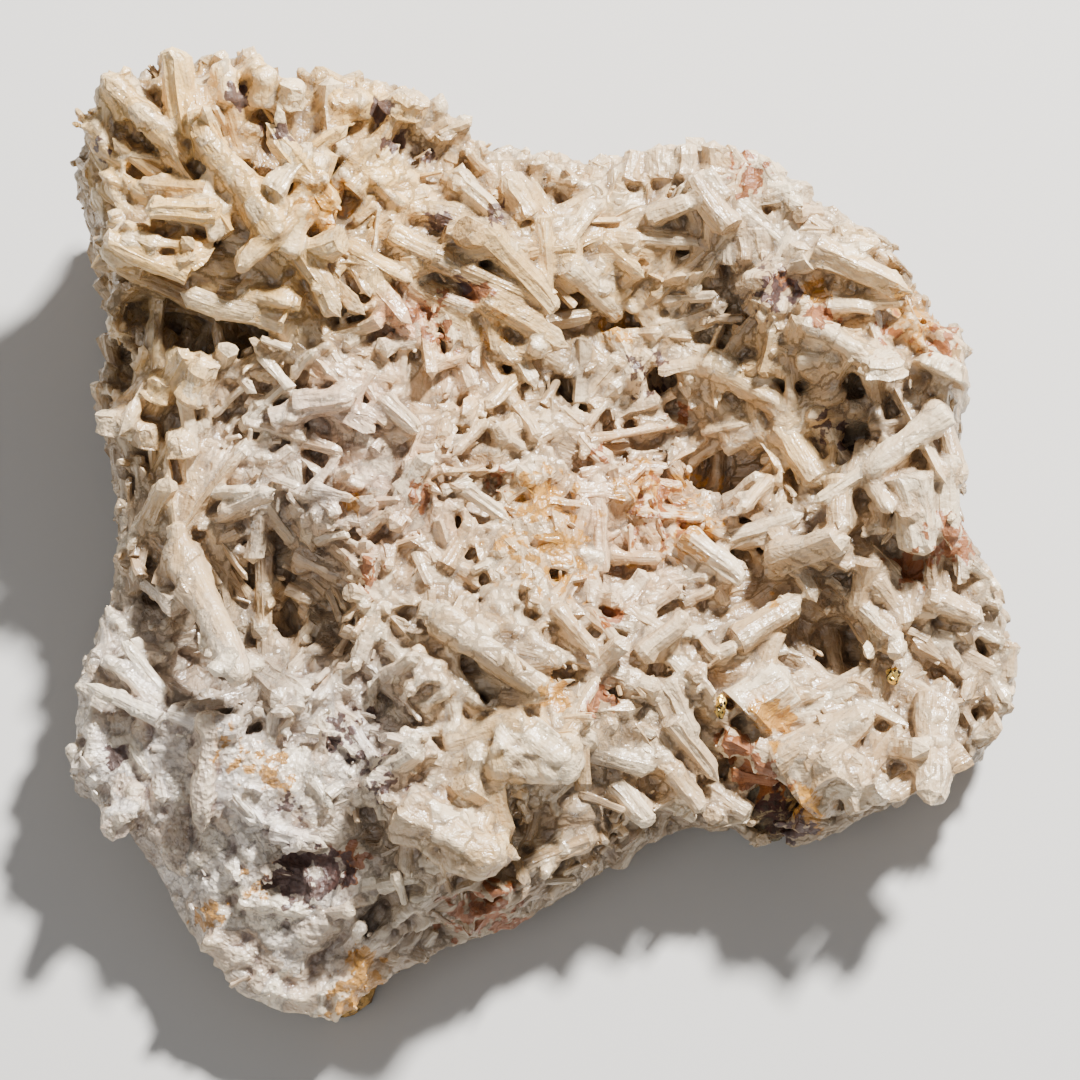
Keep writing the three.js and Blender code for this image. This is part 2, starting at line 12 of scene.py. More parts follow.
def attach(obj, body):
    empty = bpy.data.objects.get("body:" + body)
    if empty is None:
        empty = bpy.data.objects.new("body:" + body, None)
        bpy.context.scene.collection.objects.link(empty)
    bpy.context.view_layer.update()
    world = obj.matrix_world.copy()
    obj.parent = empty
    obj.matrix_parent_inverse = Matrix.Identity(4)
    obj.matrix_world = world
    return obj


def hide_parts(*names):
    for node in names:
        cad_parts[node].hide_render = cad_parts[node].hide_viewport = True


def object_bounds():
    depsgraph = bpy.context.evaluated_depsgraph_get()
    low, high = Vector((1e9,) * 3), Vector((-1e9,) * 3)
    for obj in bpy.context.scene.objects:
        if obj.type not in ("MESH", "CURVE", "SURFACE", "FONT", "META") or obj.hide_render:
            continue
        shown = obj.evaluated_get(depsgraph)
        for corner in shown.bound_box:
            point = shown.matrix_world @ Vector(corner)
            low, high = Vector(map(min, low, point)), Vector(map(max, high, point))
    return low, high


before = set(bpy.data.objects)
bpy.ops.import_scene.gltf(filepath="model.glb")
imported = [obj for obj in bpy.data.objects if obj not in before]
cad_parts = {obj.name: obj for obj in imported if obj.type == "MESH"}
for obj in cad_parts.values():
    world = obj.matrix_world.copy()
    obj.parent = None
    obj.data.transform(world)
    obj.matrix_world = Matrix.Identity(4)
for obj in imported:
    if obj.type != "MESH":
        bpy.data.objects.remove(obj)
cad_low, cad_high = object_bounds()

# The view. The specimen is seen from 15 degrees off straight down, with its lower edge nearest, and
# fills a square picture 135 mm wide. Places below are millimetres across and down that picture.

MM = 0.001
PICTURE_SIDE = 135
VIEW_LEAN = math.radians(15)
VIEW_DISTANCE = 1.5
SENSOR_WIDTH = 36
picture_middle = Vector((-0.6, 0.0, 24)) * MM
towards_eye = Vector((0, -math.sin(VIEW_LEAN), math.cos(VIEW_LEAN)))
picture_up = Vector((0, math.cos(VIEW_LEAN), math.sin(VIEW_LEAN)))
eye = picture_middle + towards_eye * VIEW_DISTANCE

camera_data = bpy.data.cameras.new("view")
camera_data.sensor_width = SENSOR_WIDTH
camera_data.lens = SENSOR_WIDTH * VIEW_DISTANCE / (PICTURE_SIDE * MM)
camera_data.clip_start = 0.05
camera_data.clip_end = 20
camera = bpy.data.objects.new("view", camera_data)
camera.location = eye
camera.rotation_euler = (VIEW_LEAN, 0, 0)
bpy.context.scene.collection.objects.link(camera)
bpy.context.scene.camera = camera


def sight_line(across, down):
    """The direction from the eye to a place in the picture."""
    right = (across - PICTURE_SIDE / 2) * MM
    up = (PICTURE_SIDE / 2 - down) * MM
    return (picture_middle + Vector((right, 0, 0)) + picture_up * up - eye).normalized()


def picture_places(points):
    """Where points are seen, as millimetres across and down the picture."""
    offset = points - np.array(picture_middle)
    enlarged = VIEW_DISTANCE / (VIEW_DISTANCE - offset @ np.array(towards_eye))
    across = offset[:, 0] * enlarged / MM + PICTURE_SIDE / 2
    down = PICTURE_SIDE / 2 - offset @ np.array(picture_up) * enlarged / MM
    return np.stack([across, down], axis=1)


# The cerussite. It is one mass of prisms that have grown through each other and are fused where they cross,
# open and pitted between them. Its form is the frame's own, eaten back, and every prism is set into it.

FORM_VOXEL = 0.9 * MM
EATEN_TOP = 2.4 * MM
EATEN_SIDE = 0.9 * MM
# A face's upward lean times this, and at most 1, is how far it counts as a top.
TOP_GAIN = 1.5
# How unevenly it is eaten: the even share, then each size of pit with its share and seed.
EATEN_EVENLY = 0.85
PITS = [(5.0 * MM, 0.8, 1), (2.0 * MM, 0.4, 2)]
# The share that a whole crust keeps, and the most that may go of the thickness behind a face.
CRUST_KEEPS = 0.8
EATEN_AT_MOST = 0.4
BARED_AT_MOST = 0.35
UNDER_SKIN = 0.3 * MM
FOOT_LEVEL = 13 * MM
FOOT_LEAN = -0.2
FOOT_GROWTH = 0.4 * MM
ROCK_BARED = 3 * MM
# A marked place is whole out to 0.6 of its half width, and has faded out at this many half widths.
PLACE_FADES_AT = 1.6
# Places where the crust is smooth and whole: across, down, half width.
SMOOTH_CRUSTS = [
    (56, 105, 5), (67, 94, 4), (26, 94, 4), (19, 101, 6), (32, 118, 7), (117, 93, 4), (24, 122, 6),
    (53, 111, 4), (13, 92, 4), (24, 106, 6), (29, 111, 6), (38, 115, 5), (40, 121, 5), (17, 95, 4),
    (47, 113, 5), (41, 104, 3),
]
# The two brassy grains, which nothing covers: across, down, half width.
GRAIN_PLACES = [(90.0, 88.3, 3.2), (111.4, 84.4, 2.8)]
# Where the gossan shows through, which little has grown over: across, down, half width.
ROCK_PLACES = [(44, 124.5, 5), (50, 116, 4.5), (62, 112.5, 3.5), (98, 101.5, 3)]


# Large odd numbers that scramble a lattice corner's place and a seed into an even chance.
SCRAMBLE_WAYS = np.array([73856093, 19349663, 83492791])
SCRAMBLE_SEED = 40503
SCRAMBLE_FACTOR = 1540483477
SCRAMBLE_MASK = 0x7FFFFFFF
CHANCE_MASK = 0xFFFFF


def lattice_noise(points, cell, seed):
    """Smooth noise from -1 to 1 at each point, with lumps about one cell across."""
    scaled = points / cell
    low = np.floor(scaled).astype(np.int64)
    part = scaled - low
    part = part * part * (3 - 2 * part)
    total = np.zeros(len(points))
    for corner in np.ndindex(2, 2, 2):
        key = low + np.array(corner)
        scrambled = key @ SCRAMBLE_WAYS + seed * SCRAMBLE_SEED
        scrambled ^= scrambled >> 13
        scrambled = (scrambled * SCRAMBLE_FACTOR) & SCRAMBLE_MASK
        scrambled ^= scrambled >> 15
        value = (scrambled & CHANCE_MASK) / (CHANCE_MASK // 2) - 1
        weight = np.prod(np.where(np.array(corner) == 1, part, 1 - part), axis=1)
        total += weight * value
    return total


def merged_copy(node):
    """A copy of a CAD node's mesh with its loose triangles joined."""
    joined = bmesh.new()
    joined.from_mesh(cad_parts[node].data)
    bmesh.ops.remove_doubles(joined, verts=joined.verts, dist=1e-6)
    return joined


def piece_from(mesh, name):
    piece = bpy.data.objects.new(name, mesh)
    bpy.context.scene.collection.objects.link(piece)
    return piece


def remeshed(mesh, voxel, smoothings):
    """A closed, even mesh around everything in a mesh, with its edges softened."""
    piece = piece_from(mesh, "source")
    skin = piece.modifiers.new("even", "REMESH")
    skin.mode = "VOXEL"
    skin.voxel_size = voxel
    if smoothings:
        soft = piece.modifiers.new("soft", "SMOOTH")
        soft.factor = 0.5
        soft.iterations = smoothings
    even = bpy.data.meshes.new_from_object(piece.evaluated_get(bpy.context.evaluated_depsgraph_get()))
    bpy.data.objects.remove(piece)
    bpy.data.meshes.remove(mesh)
    return even


def mesh_from(shape, name):
    mesh = bpy.data.meshes.new(name)
    shape.to_mesh(mesh)
    return mesh


def corner_places(mesh):
    places = np.empty(len(mesh.vertices) * 3)
    mesh.vertices.foreach_get("co", places)
    return places.reshape(-1, 3)


def corner_normals(mesh):
    normals = np.empty(len(mesh.vertices) * 3)
    mesh.vertex_normals.foreach_get("vector", normals)
    return normals.reshape(-1, 3)


def move_corners(mesh, places):
    mesh.vertices.foreach_set("co", places.ravel())
    mesh.update()


def shade(mesh, smooth):
    mesh.polygons.foreach_set("use_smooth", np.full(len(mesh.polygons), smooth))


def nearness(seen, marked_places):
    """How far each seen place lies within the marked places, from 0 to 1."""
    within = np.zeros(len(seen))
    for across, down, half_width in marked_places:
        distance = np.hypot(seen[:, 0] - across, seen[:, 1] - down)
        within = np.maximum(within, np.clip(PLACE_FADES_AT - distance / half_width, 0, 1))
    return within


crystal_form = merged_copy("cerussite_crystals")
crystal_tree = BVHTree.FromBMesh(crystal_form)
core = remeshed(mesh_from(crystal_form, "core"), FORM_VOXEL, 0)
places = corner_places(core)
normals = corner_normals(core)
upward = np.clip(normals[:, 2] * TOP_GAIN, 0, 1)
eaten = EATEN_SIDE + (EATEN_TOP - EATEN_SIDE) * upward
crusted = nearness(picture_places(places), SMOOTH_CRUSTS)
eaten *= 1 - CRUST_KEEPS * crusted
bared = nearness(picture_places(places), ROCK_PLACES)
eaten += ROCK_BARED * bared * upward
eaten *= sum((share * lattice_noise(places, size, seed) for size, share, seed in PITS), EATEN_EVENLY)
for number, (place, normal) in enumerate(zip(places, normals)):
    thickness = crystal_tree.ray_cast(Vector(place - normal * UNDER_SKIN), Vector(-normal))[3]
    if thickness is not None:
        eaten[number] = min(eaten[number], (EATEN_AT_MOST + BARED_AT_MOST * bared[number]) * thickness)
# Underneath it is grown fast to the gossan, so nothing is eaten away there.
foot = (normals[:, 2] < FOOT_LEAN) & (places[:, 2] < FOOT_LEVEL)
eaten[foot] = -FOOT_GROWTH
move_corners(core, places - normals * eaten[:, None])


# The large crystals: prisms of cerussite, mostly 2 to 7 mm thick, ribbed along their length, that lie over
# and through each other. Each is set where the photograph shows it, resting in the mass.

PRISM_SIDES = 6
# How far a prism's end may slant, where that end begins, and how much its corners stray.
END_SLANT = 0.3
END_BEGINS = 0.8
CORNER_STRAY = 0.05
PEAK_STRAY = 0.1
PEAK_HEIGHTS = (0.1, 0.5)
# How far an end may stand out of the form, on a top face and at the rim, less a share of its width.
TOP_REACH = 1.3 * MM
RIM_REACH = 0.4 * MM
TOP_FACE_LEAN = 0.6
HELD_WIDTH_SHARE = 0.3
# The large prisms: heights and widths from root to tip, and where along each the surface is looked up.
LARGE_SHAPES = 9
LARGE_COLUMNS = 16
LARGE_LEVELS = [(0.1, 1.2), (0.28, 1.02), (0.5, 0.95), (0.72, 0.98), (0.88, 0.93), (0.95, 0.8), (0.985, 0.55)]
SEEN_NEAR_ROOT = 0.3
SEEN_NEAR_TIP = 0.72
ROOT_OVERRUN = 0.1
LARGE_TIP_SHARE = 0.3
LARGE_FULLNESS = 1.12
LARGE_FLATNESS = (0.7, 0.95)
LARGE_SUNK = 0.2

# Where each one lies: its root across and down, its tip across and down, and its width.
KNOB_CRYSTALS = [
    (23.8, 17, 21.3, 6.3, 4.2), (16.5, 14.5, 13.5, 9.5, 3.5), (18, 14, 15.5, 9, 3),
    (34.5, 29.5, 24.5, 16.5, 4.3), (41, 26, 34.5, 16, 3.5), (26, 24, 18, 22.5, 3), (27, 26.5, 18.5, 26, 3),
    (24.5, 32, 23.5, 30.5, 4.5),
    (38.5, 25.5, 30, 33.5, 3.5), (50, 14, 51, 11.5, 5), (42.5, 15, 42, 12, 4), (45.5, 14, 45.5, 11.5, 3.5),
    (28.5, 12.5, 28, 8, 4.5), (32.5, 13, 33, 8.5, 4), (36, 13, 36.5, 10, 3.5), (36.5, 37.5, 25, 35.5, 2.5),
    (25, 37.5, 13.5, 33, 3), (37.5, 31, 42, 39, 3), (16, 20.5, 12, 18, 2.5), (31, 20, 29, 12, 3),
    (22, 18, 17, 13, 3), (44, 24, 49, 18, 3), (37, 20, 43, 16, 2.5), (20, 31, 14.5, 28.5, 3),
    (46, 22, 52, 22, 2.5), (34, 24, 38, 18, 3),
]
NORTH_CRYSTALS = [
    (60, 28.5, 69.5, 38.5, 3.5), (60.5, 37, 70, 43, 3.5), (54, 32, 67.5, 37.5, 3), (70.5, 33, 77.5, 39.5, 3),
    (70, 31, 75, 25.5, 3), (76.5, 29.5, 88, 30.5, 2.5), (81.5, 27, 86.5, 25, 2.5), (90.5, 25, 88, 21.5, 2.5),
    (91, 33, 90.5, 28, 1.5), (93, 32.5, 92.5, 28.5, 1.5), (92.5, 25.5, 100, 32, 2.5), (102, 31, 113, 36, 4),
    (105, 30, 110, 30.5, 2.5), (101, 40.5, 107.5, 44, 3), (79, 23, 79, 19, 3), (82.5, 22.5, 82.5, 18.5, 3),
    (86, 22, 86, 18, 3), (89.5, 21.5, 90, 18, 3), (57, 22, 62, 27, 2.5), (49, 29, 57, 33, 2.5),
    (66, 27, 63, 22, 3),
]
EAST_CRYSTALS = [
    (88, 45, 99.5, 51.5, 3.5), (98, 52.5, 102.5, 60.5, 4), (99, 50, 98.5, 44.5, 1.5),
    (118.5, 51.5, 108, 59, 3.5), (109, 58.5, 102, 62.5, 2), (105, 60, 104.5, 66.5, 3.5),
    (109.5, 54, 110, 50, 2), (88, 54, 93, 53, 1.5), (110.5, 46.5, 110.5, 44.5, 5.5),
    (117.5, 47, 118.5, 45, 7), (113, 59.5, 115.5, 69, 5), (118, 57.5, 118.5, 67.5, 3.5),
    (109, 60, 111, 64, 2.5), (90, 67.5, 100, 64.5, 2.5), (85.5, 67, 93, 72.5, 3), (97, 70, 106, 68, 5),
    (99.5, 70.5, 101.5, 75, 2.5), (92, 80, 100, 75.5, 4.5), (104, 79, 105, 85, 2.5),
    (100, 86, 105.5, 86, 1.5), (93, 89, 98, 84, 7), (120.5, 78.5, 122, 82.5, 2), (73.5, 55, 85, 53, 1.5),
    (117, 75, 122, 78, 3), (108, 76, 112, 81, 3), (96, 60, 92, 64, 2),
]
SOUTH_CRYSTALS = [
    (97.5, 95.5, 108.5, 89, 5), (101, 99, 106, 95, 7), (106, 97, 108.5, 101, 4.5), (117, 87.5, 116, 100, 5.5),
    (84, 96, 88, 101, 3), (77, 98, 81, 103, 3), (83, 85, 87, 92, 3), (73.5, 105, 65, 108, 3),
    (90.5, 92, 97, 95.5, 2.5), (84, 90, 89, 97, 2.5),
]
CENTRE_CRYSTALS = [
    (75, 71.5, 75, 62, 2), (75.5, 62, 72, 62, 1.5), (69.5, 76, 74, 82, 2), (54.5, 77, 68, 87.5, 4),
    (48, 84.5, 52, 82, 2), (37.5, 69, 43, 72.5, 3), (43.5, 74, 48, 75, 2), (31, 53, 36.5, 54.5, 1.5),
    (37.5, 55, 42.5, 56.5, 1.5), (37, 50.5, 44, 50, 3), (50, 62, 54, 57, 2.5), (58, 61, 63, 65, 2),
    (66, 46, 61, 51, 2), (48, 50, 52, 54, 2.5), (80, 82, 86, 77, 2.5),
]
WEST_CRYSTALS = [
    (22, 68.5, 30.5, 85, 4.5), (33, 67.5, 33, 86.5, 2.2), (33, 84, 38, 87, 3), (36, 73.5, 39.5, 75, 2),
    (24, 50, 26, 45, 4.5), (19.5, 49.5, 20.5, 47, 4.5), (14.5, 54, 14.5, 51.5, 4), (18.5, 55.5, 18.5, 53, 4),
    (23, 56.5, 22.5, 54, 4), (18, 66, 21, 60, 3), (22, 76, 17, 71, 2.5), (28, 64, 34, 62, 2.5),
    (20, 88, 13, 82, 2), (20.5, 87, 15.5, 80.5, 2),
    (20, 90, 11.5, 86, 2), (34, 104, 40, 106, 2.5), (44, 91, 47, 96, 2),
]
# Those that a smooth crust has overgrown, so that only their swell is seen.
CRUSTED_CRYSTALS = [
    (50, 101, 62.5, 108.5, 6.5), (62, 93, 72.5, 96, 7), (26, 89, 25, 104, 3), (15.5, 102, 15, 100.5, 6),
    (26, 117, 31, 120, 4), (30, 112, 38, 114, 3), (56, 93, 66, 90, 4),
]
LARGE_CRYSTALS = (
    CRUSTED_CRYSTALS + KNOB_CRYSTALS + NORTH_CRYSTALS + EAST_CRYSTALS + SOUTH_CRYSTALS
    + CENTRE_CRYSTALS + WEST_CRYSTALS
)


def surface_at(across, down):
    """The point of the frame's crystals that is seen at a place, or the nearest to it past the rim."""
    line = sight_line(across, down)
    hit = crystal_tree.ray_cast(eye, line)[0]
    if hit is None:
        hit = crystal_tree.find_nearest(eye + line * VIEW_DISTANCE)[0]
    return hit


def seen_at(across, down, point):
    """The point that is seen at a place and is as far from the eye as another point."""
    line = sight_line(across, down)
    return eye + line * ((eye - point).dot(towards_eye) / -line.dot(towards_eye))


def crystal_shape(columns, levels, groove, unevenness, bend, tip, seed):
    """A crystal one high and one wide: a ring of corners drawn up through its levels to a low peak."""
    draw = random.Random(seed)
    shape = bmesh.new()
    ring = bmesh.ops.create_circle(shape, cap_ends=True, segments=columns, radius=0.5)["verts"]
    outline = []
    for number, corner in enumerate(ring):
        along_side = (number / columns * PRISM_SIDES) % 1
        turned = (along_side - 0.5) * math.pi / (PRISM_SIDES / 2)
        flatness = math.cos(math.pi / PRISM_SIDES) / math.cos(turned)
        rib = 1 - groove * (number % 2) * draw.random()
        outline.append(corner.co * flatness * rib * draw.uniform(1 - unevenness, 1 + unevenness))
    column = {corner: number for number, corner in enumerate(ring)}
    edges = list(shape.edges)
    drift = Vector((0, 0, 0))
    slant = Vector((draw.uniform(-END_SLANT, END_SLANT), draw.uniform(-END_SLANT, END_SLANT), 0)) * tip
    for height, width in levels:
        raised = bmesh.ops.extrude_edge_only(shape, edges=edges)["geom"]
        edges = [part for part in raised if isinstance(part, bmesh.types.BMEdge)]
        corners = [part for part in raised if isinstance(part, bmesh.types.BMVert)]
        drift += Vector((draw.uniform(-bend, bend), draw.uniform(-bend, bend), 0))
        girth = draw.uniform(1 - bend, 1 + bend)
        above = {}
        for corner in corners:
            neighbours = [edge.other_vert(corner) for edge in corner.link_edges]
            above[corner] = next(column[below] for below in neighbours if below in column)
        for corner, number in above.items():
            stray = draw.uniform(1 - CORNER_STRAY, 1 + CORNER_STRAY)
            corner.co = outline[number] * width * girth * stray + drift
            corner.co.z = height + (corner.co.dot(slant) if height > END_BEGINS else 0)
        column = above
    cap = bmesh.ops.contextual_create(shape, geom=edges)["faces"]
    peak = bmesh.ops.poke(shape, faces=cap)["verts"][0]
    aside = [draw.uniform(-PEAK_STRAY, PEAK_STRAY) for way in "xy"]
    peak.co += Vector((*aside, draw.uniform(*PEAK_HEIGHTS) * tip))
    bmesh.ops.recalc_face_normals(shape, faces=shape.faces)
    return shape


def shape_arrays(shape):
    """A shape's corners and faces as arrays, ready to be repeated."""
    shape.verts.index_update()
    corners = np.array([corner.co for corner in shape.verts])
    sizes = np.array([len(face.verts) for face in shape.faces])
    ring = np.array([corner.index for face in shape.faces for corner in face.verts])
    shape.free()
    return corners, sizes, ring


def shape_family(number, first_seed, columns, levels, **form):
    """Several crystals of one kind as arrays, each drawn with its own seed."""
    seeds = range(first_seed, first_seed + number)
    return [shape_arrays(crystal_shape(columns, levels, seed=seed, **form)) for seed in seeds]


def mesh_of(name, places, sizes, rings):
    """A mesh from its corners, the number of corners of each face and the faces' corners in order."""
    mesh = bpy.data.meshes.new(name)
    mesh.vertices.add(len(places))
    mesh.vertices.foreach_set("co", places.ravel())
    mesh.loops.add(len(rings))
    mesh.loops.foreach_set("vertex_index", rings)
    mesh.polygons.add(len(sizes))
    mesh.polygons.foreach_set("loop_start", np.concatenate([[0], np.cumsum(sizes)[:-1]]))
    mesh.polygons.foreach_set("loop_total", sizes)
    mesh.update(calc_edges=True)
    return mesh


def joined_copies(name, shapes, stands):
    """One mesh of many crystals. Each stand is a shape's number, its turn and size, its root and its tint."""
    corners, sizes, rings, alongs, owners = [], [], [], [], []
    count = 0
    for number, (shape_corners, shape_sizes, shape_ring) in enumerate(shapes):
        chosen = [place for place, stand in enumerate(stands) if stand[0] == number]
        if not chosen:
            continue
        turns = np.array([stands[place][1] for place in chosen])
        roots = np.array([stands[place][2] for place in chosen])
        placed = np.einsum("sij,cj->sci", turns, shape_corners) + roots[:, None, :]
        starts = count + np.arange(len(chosen)) * len(shape_corners)
        corners.append(placed.reshape(-1, 3))
        sizes.append(np.tile(shape_sizes, len(chosen)))
        rings.append((shape_ring[None, :] + starts[:, None]).ravel())
        alongs.append(np.tile(np.clip(shape_corners[:, 2], 0, 1), len(chosen)))
        owners.append(np.repeat(chosen, len(shape_corners)))
        count += len(chosen) * len(shape_corners)
    mesh = mesh_of(name, np.concatenate(corners), np.concatenate(sizes), np.concatenate(rings))
    shade(mesh, False)
    return mesh, np.concatenate(alongs), np.concatenate(owners)


def standing(shape, root, tip, width, flatness, spin, tint):
    """A stand for one crystal from its root to its tip."""
    axis = tip - root
    turn = axis.to_track_quat("Z", "Y").to_matrix() @ Matrix.Rotation(spin, 3, "Z")
    size = Matrix.Diagonal((width, width * flatness, axis.length))
    return shape, np.array(turn @ size), np.array(root), tint


def held_in(point, width):
    """A crystal's end, pulled back where it would stand too far out of the form."""
    nearest, outward, face, gap = crystal_tree.find_nearest(point)
    allowed = (TOP_REACH if outward.z > TOP_FACE_LEAN else RIM_REACH) - width * HELD_WIDTH_SHARE
    excess = (point - nearest).dot(outward) - allowed
    return point - outward * max(0, excess)


draw = random.Random(3)
large_shapes = shape_family(
    LARGE_SHAPES, 0, LARGE_COLUMNS, LARGE_LEVELS, groove=0.12, unevenness=0.05, bend=0.07, tip=0.3,
)
large_stands = []
for root_across, root_down, tip_across, tip_down, width in LARGE_CRYSTALS:
    seen = []
    for share in (SEEN_NEAR_ROOT, SEEN_NEAR_TIP):
        across = root_across + (tip_across - root_across) * share
        down = root_down + (tip_down - root_down) * share
        seen.append(surface_at(across, down) - towards_eye * width * LARGE_SUNK * MM)
    step = (seen[1] - seen[0]) / (SEEN_NEAR_TIP - SEEN_NEAR_ROOT)
    root = held_in(seen[0] - step * (SEEN_NEAR_ROOT + ROOT_OVERRUN), width * MM)
    root = seen_at(root_across, root_down, root)
    tip = held_in(seen[1] + step * (1 - SEEN_NEAR_TIP), width * LARGE_TIP_SHARE * MM)
    tip = seen_at(tip_across, tip_down, tip)
    large_stands.append(standing(
        draw.randrange(LARGE_SHAPES), root, tip, width * LARGE_FULLNESS * MM,
        draw.uniform(*LARGE_FLATNESS), draw.uniform(0, math.pi), draw.random(),
    ))


# The crystals between the large ones: the same prisms at 1 to 4 mm thick, sprung from every open face.
# They lean the way their large neighbours lie, and thin out on the smooth crusts.

# How far, in millimetres of the picture, a large crystal turns its neighbours its own way.
LEAN_REACH = 8
# Where the crystals are coarse: across, down, half width. Between these places they are short and thin.
COARSE_PLACES = [
    (28, 20, 24), (90, 28, 13), (106, 50, 14), (27, 74, 13), (111, 92, 12), (62, 34, 11), (24, 50, 9),
    (70, 92, 9), (56, 104, 9), (75, 67, 5),
]
FINE_SCALE = 0.6
# Crystals start on faces that lean down no more than this, above this level, off the rock and the grains.
GROWTH_LEAN = -0.5
LOWEST_GROWTH = 7 * MM
ROCK_LOSS = 0.9
GRAIN_KEPT_CLEAR = 0.5
# A large crystal's own strip: from this share of its length on, and this share of its width to each side.
LARGE_STRIP_START = 0.1
LARGE_CLEARANCE = 0.5
OUTLINE_SHARES = (1.0, 0.6, 0.3)
# Small ones are commoner than large ones by this power.
SIZE_POWER = 1.5
LENGTH_STRAY = (0.7, 1.3)
ROOT_BEHIND = 0.4
GROWN_FLATNESS = (0.38, 0.95)
MIDDLE_SHAPES = 14
MIDDLE_LEVELS = [(0.12, 1.35), (0.35, 1.0), (0.65, 0.9), (0.92, 0.92)]

bmesh.ops.triangulate(crystal_form, faces=crystal_form.faces)
face_corners = np.array([[corner.co for corner in face.verts] for face in crystal_form.faces])
face_middles = face_corners.mean(axis=1)
face_normals = np.array([face.normal for face in crystal_form.faces])
face_areas = np.array([face.calc_area() for face in crystal_form.faces])
lean_places = np.array([((row[0] + row[2]) / 2, (row[1] + row[3]) / 2) for row in LARGE_CRYSTALS])
lean_ways = np.array([np.array(stand[1])[:, 2] for stand in large_stands])
lean_ways /= np.linalg.norm(lean_ways, axis=1)[:, None]


def over_large(seen):
    """Whether each seen place lies on one of the large crystals."""
    covered = np.zeros(len(seen), dtype=bool)
    for root_across, root_down, tip_across, tip_down, width in LARGE_CRYSTALS:
        step = np.array([tip_across - root_across, tip_down - root_down])
        offset = seen - np.array([root_across, root_down])
        share = np.clip(offset @ step / (step @ step), LARGE_STRIP_START, 1)
        covered |= np.linalg.norm(offset - share[:, None] * step, axis=1) < width * LARGE_CLEARANCE
    return covered


def growth_places(count, seed, smooth_loss, clear_of_large):
    """Points spread evenly over the open faces of the crystal form, with their normals."""
    chance = np.random.default_rng(seed)
    open_face = (face_normals[:, 2] > GROWTH_LEAN) & (face_middles[:, 2] > LOWEST_GROWTH)
    share = face_areas * open_face
    faces = chance.choice(len(share), size=count, p=share / share.sum())
    first, second = chance.random(count), chance.random(count)
    flip = first + second > 1
    first[flip], second[flip] = 1 - first[flip], 1 - second[flip]
    corners = face_corners[faces]
    points = corners[:, 0] + first[:, None] * (corners[:, 1] - corners[:, 0])
    points += second[:, None] * (corners[:, 2] - corners[:, 0])
    seen = picture_places(points)
    kept = chance.random(count) > nearness(seen, SMOOTH_CRUSTS) * smooth_loss
    kept &= nearness(seen, GRAIN_PLACES) < GRAIN_KEPT_CLEAR
    kept &= ~over_large(seen) | (chance.random(count) > clear_of_large)
    kept &= chance.random(count) > nearness(seen, ROCK_PLACES) * ROCK_LOSS
    return points[kept], face_normals[faces[kept]], chance


def within_outline(root, tip):
    """One end drawn back to the other until it is seen in front of the form, or None if it never is."""
    for share in OUTLINE_SHARES:
        end = root + (tip - root) * share
        if crystal_tree.ray_cast(eye, (end - eye).normalized())[0] is not None:
            return end
    return None


def grown_stands(count, shapes, seed, widths, lengths, spread, rise, sunk, smooth_loss, clear_of_large):
    """Stands for crystals grown over the form. Widths, lengths, rise and depth sunk are ranges."""
    points, normals, chance = growth_places(count, seed, smooth_loss, clear_of_large)
    stands = []
    seen = picture_places(points)
    for point, normal, place, coarse in zip(points, normals, seen, nearness(seen, COARSE_PLACES)):
        distance = np.hypot(*(lean_places - place).T)
        pull = np.exp(-(distance / LEAN_REACH) ** 2)
        way = (lean_ways * pull[:, None]).sum(axis=0) + chance.normal(size=3) * spread
        way -= normal * (way @ normal)
        way /= np.linalg.norm(way) + 1e-9
        lift = chance.uniform(*rise)
        way = way * math.cos(lift) + normal * math.sin(lift)
        size = chance.random() ** SIZE_POWER
        scale = FINE_SCALE + (1 - FINE_SCALE) * coarse
        width = (widths[0] + (widths[1] - widths[0]) * size * scale) * MM
        length = (lengths[0] + (lengths[1] - lengths[0]) * size) * scale * chance.uniform(*LENGTH_STRAY) * MM
        root = Vector(point - normal * chance.uniform(*sunk) * MM - way * length * ROOT_BEHIND)
        tip = within_outline(root, held_in(root + Vector(way) * length, width))
        if tip is None:
            continue
        root = within_outline(tip, root) or Vector(point)
        stands.append(standing(
            int(chance.integers(shapes)), root, tip, width, chance.uniform(*GROWN_FLATNESS),
            chance.uniform(0, math.pi), chance.random(),
        ))
    return stands


middle_shapes = shape_family(
    MIDDLE_SHAPES, 50, 8, MIDDLE_LEVELS, groove=0.16, unevenness=0.14, bend=0.15, tip=0.4,
)
middle_stands = grown_stands(
    2500, MIDDLE_SHAPES, seed=7, widths=(1.5, 4.2), lengths=(5.5, 13), spread=0.9, rise=(0, 0.6),
    sunk=(0.4, 2.0), smooth_loss=0.9, clear_of_large=0.75,
)
# Thinner ones fill the gaps. They are seen only where the network is drawn round them.
gap_shapes = shape_family(
    MIDDLE_SHAPES, 30, PRISM_SIDES, MIDDLE_LEVELS, groove=0.1, unevenness=0.14, bend=0.15, tip=0.4,
)
gap_stands = grown_stands(
    2300, MIDDLE_SHAPES, seed=8, widths=(1.1, 1.9), lengths=(3, 7), spread=1.2, rise=(0, 0.9),
    sunk=(0.8, 3.0), smooth_loss=0.75, clear_of_large=0.9,
)


# The network that the crystals make together. Where they cross they are fused with a softened corner, as
# bone is, and each keeps the ribs that run along it.

NETWORK_VOXEL = 0.47 * MM
NETWORK_SMOOTHINGS = 1
# How often a crease is filled by half its depth, and how much of that wears a ridge down.
FUSED_ROUNDS = 5
FILLED_SHARE = 0.5
RIDGE_WEAR = 0.12
STOUT_WEAR = 0.3
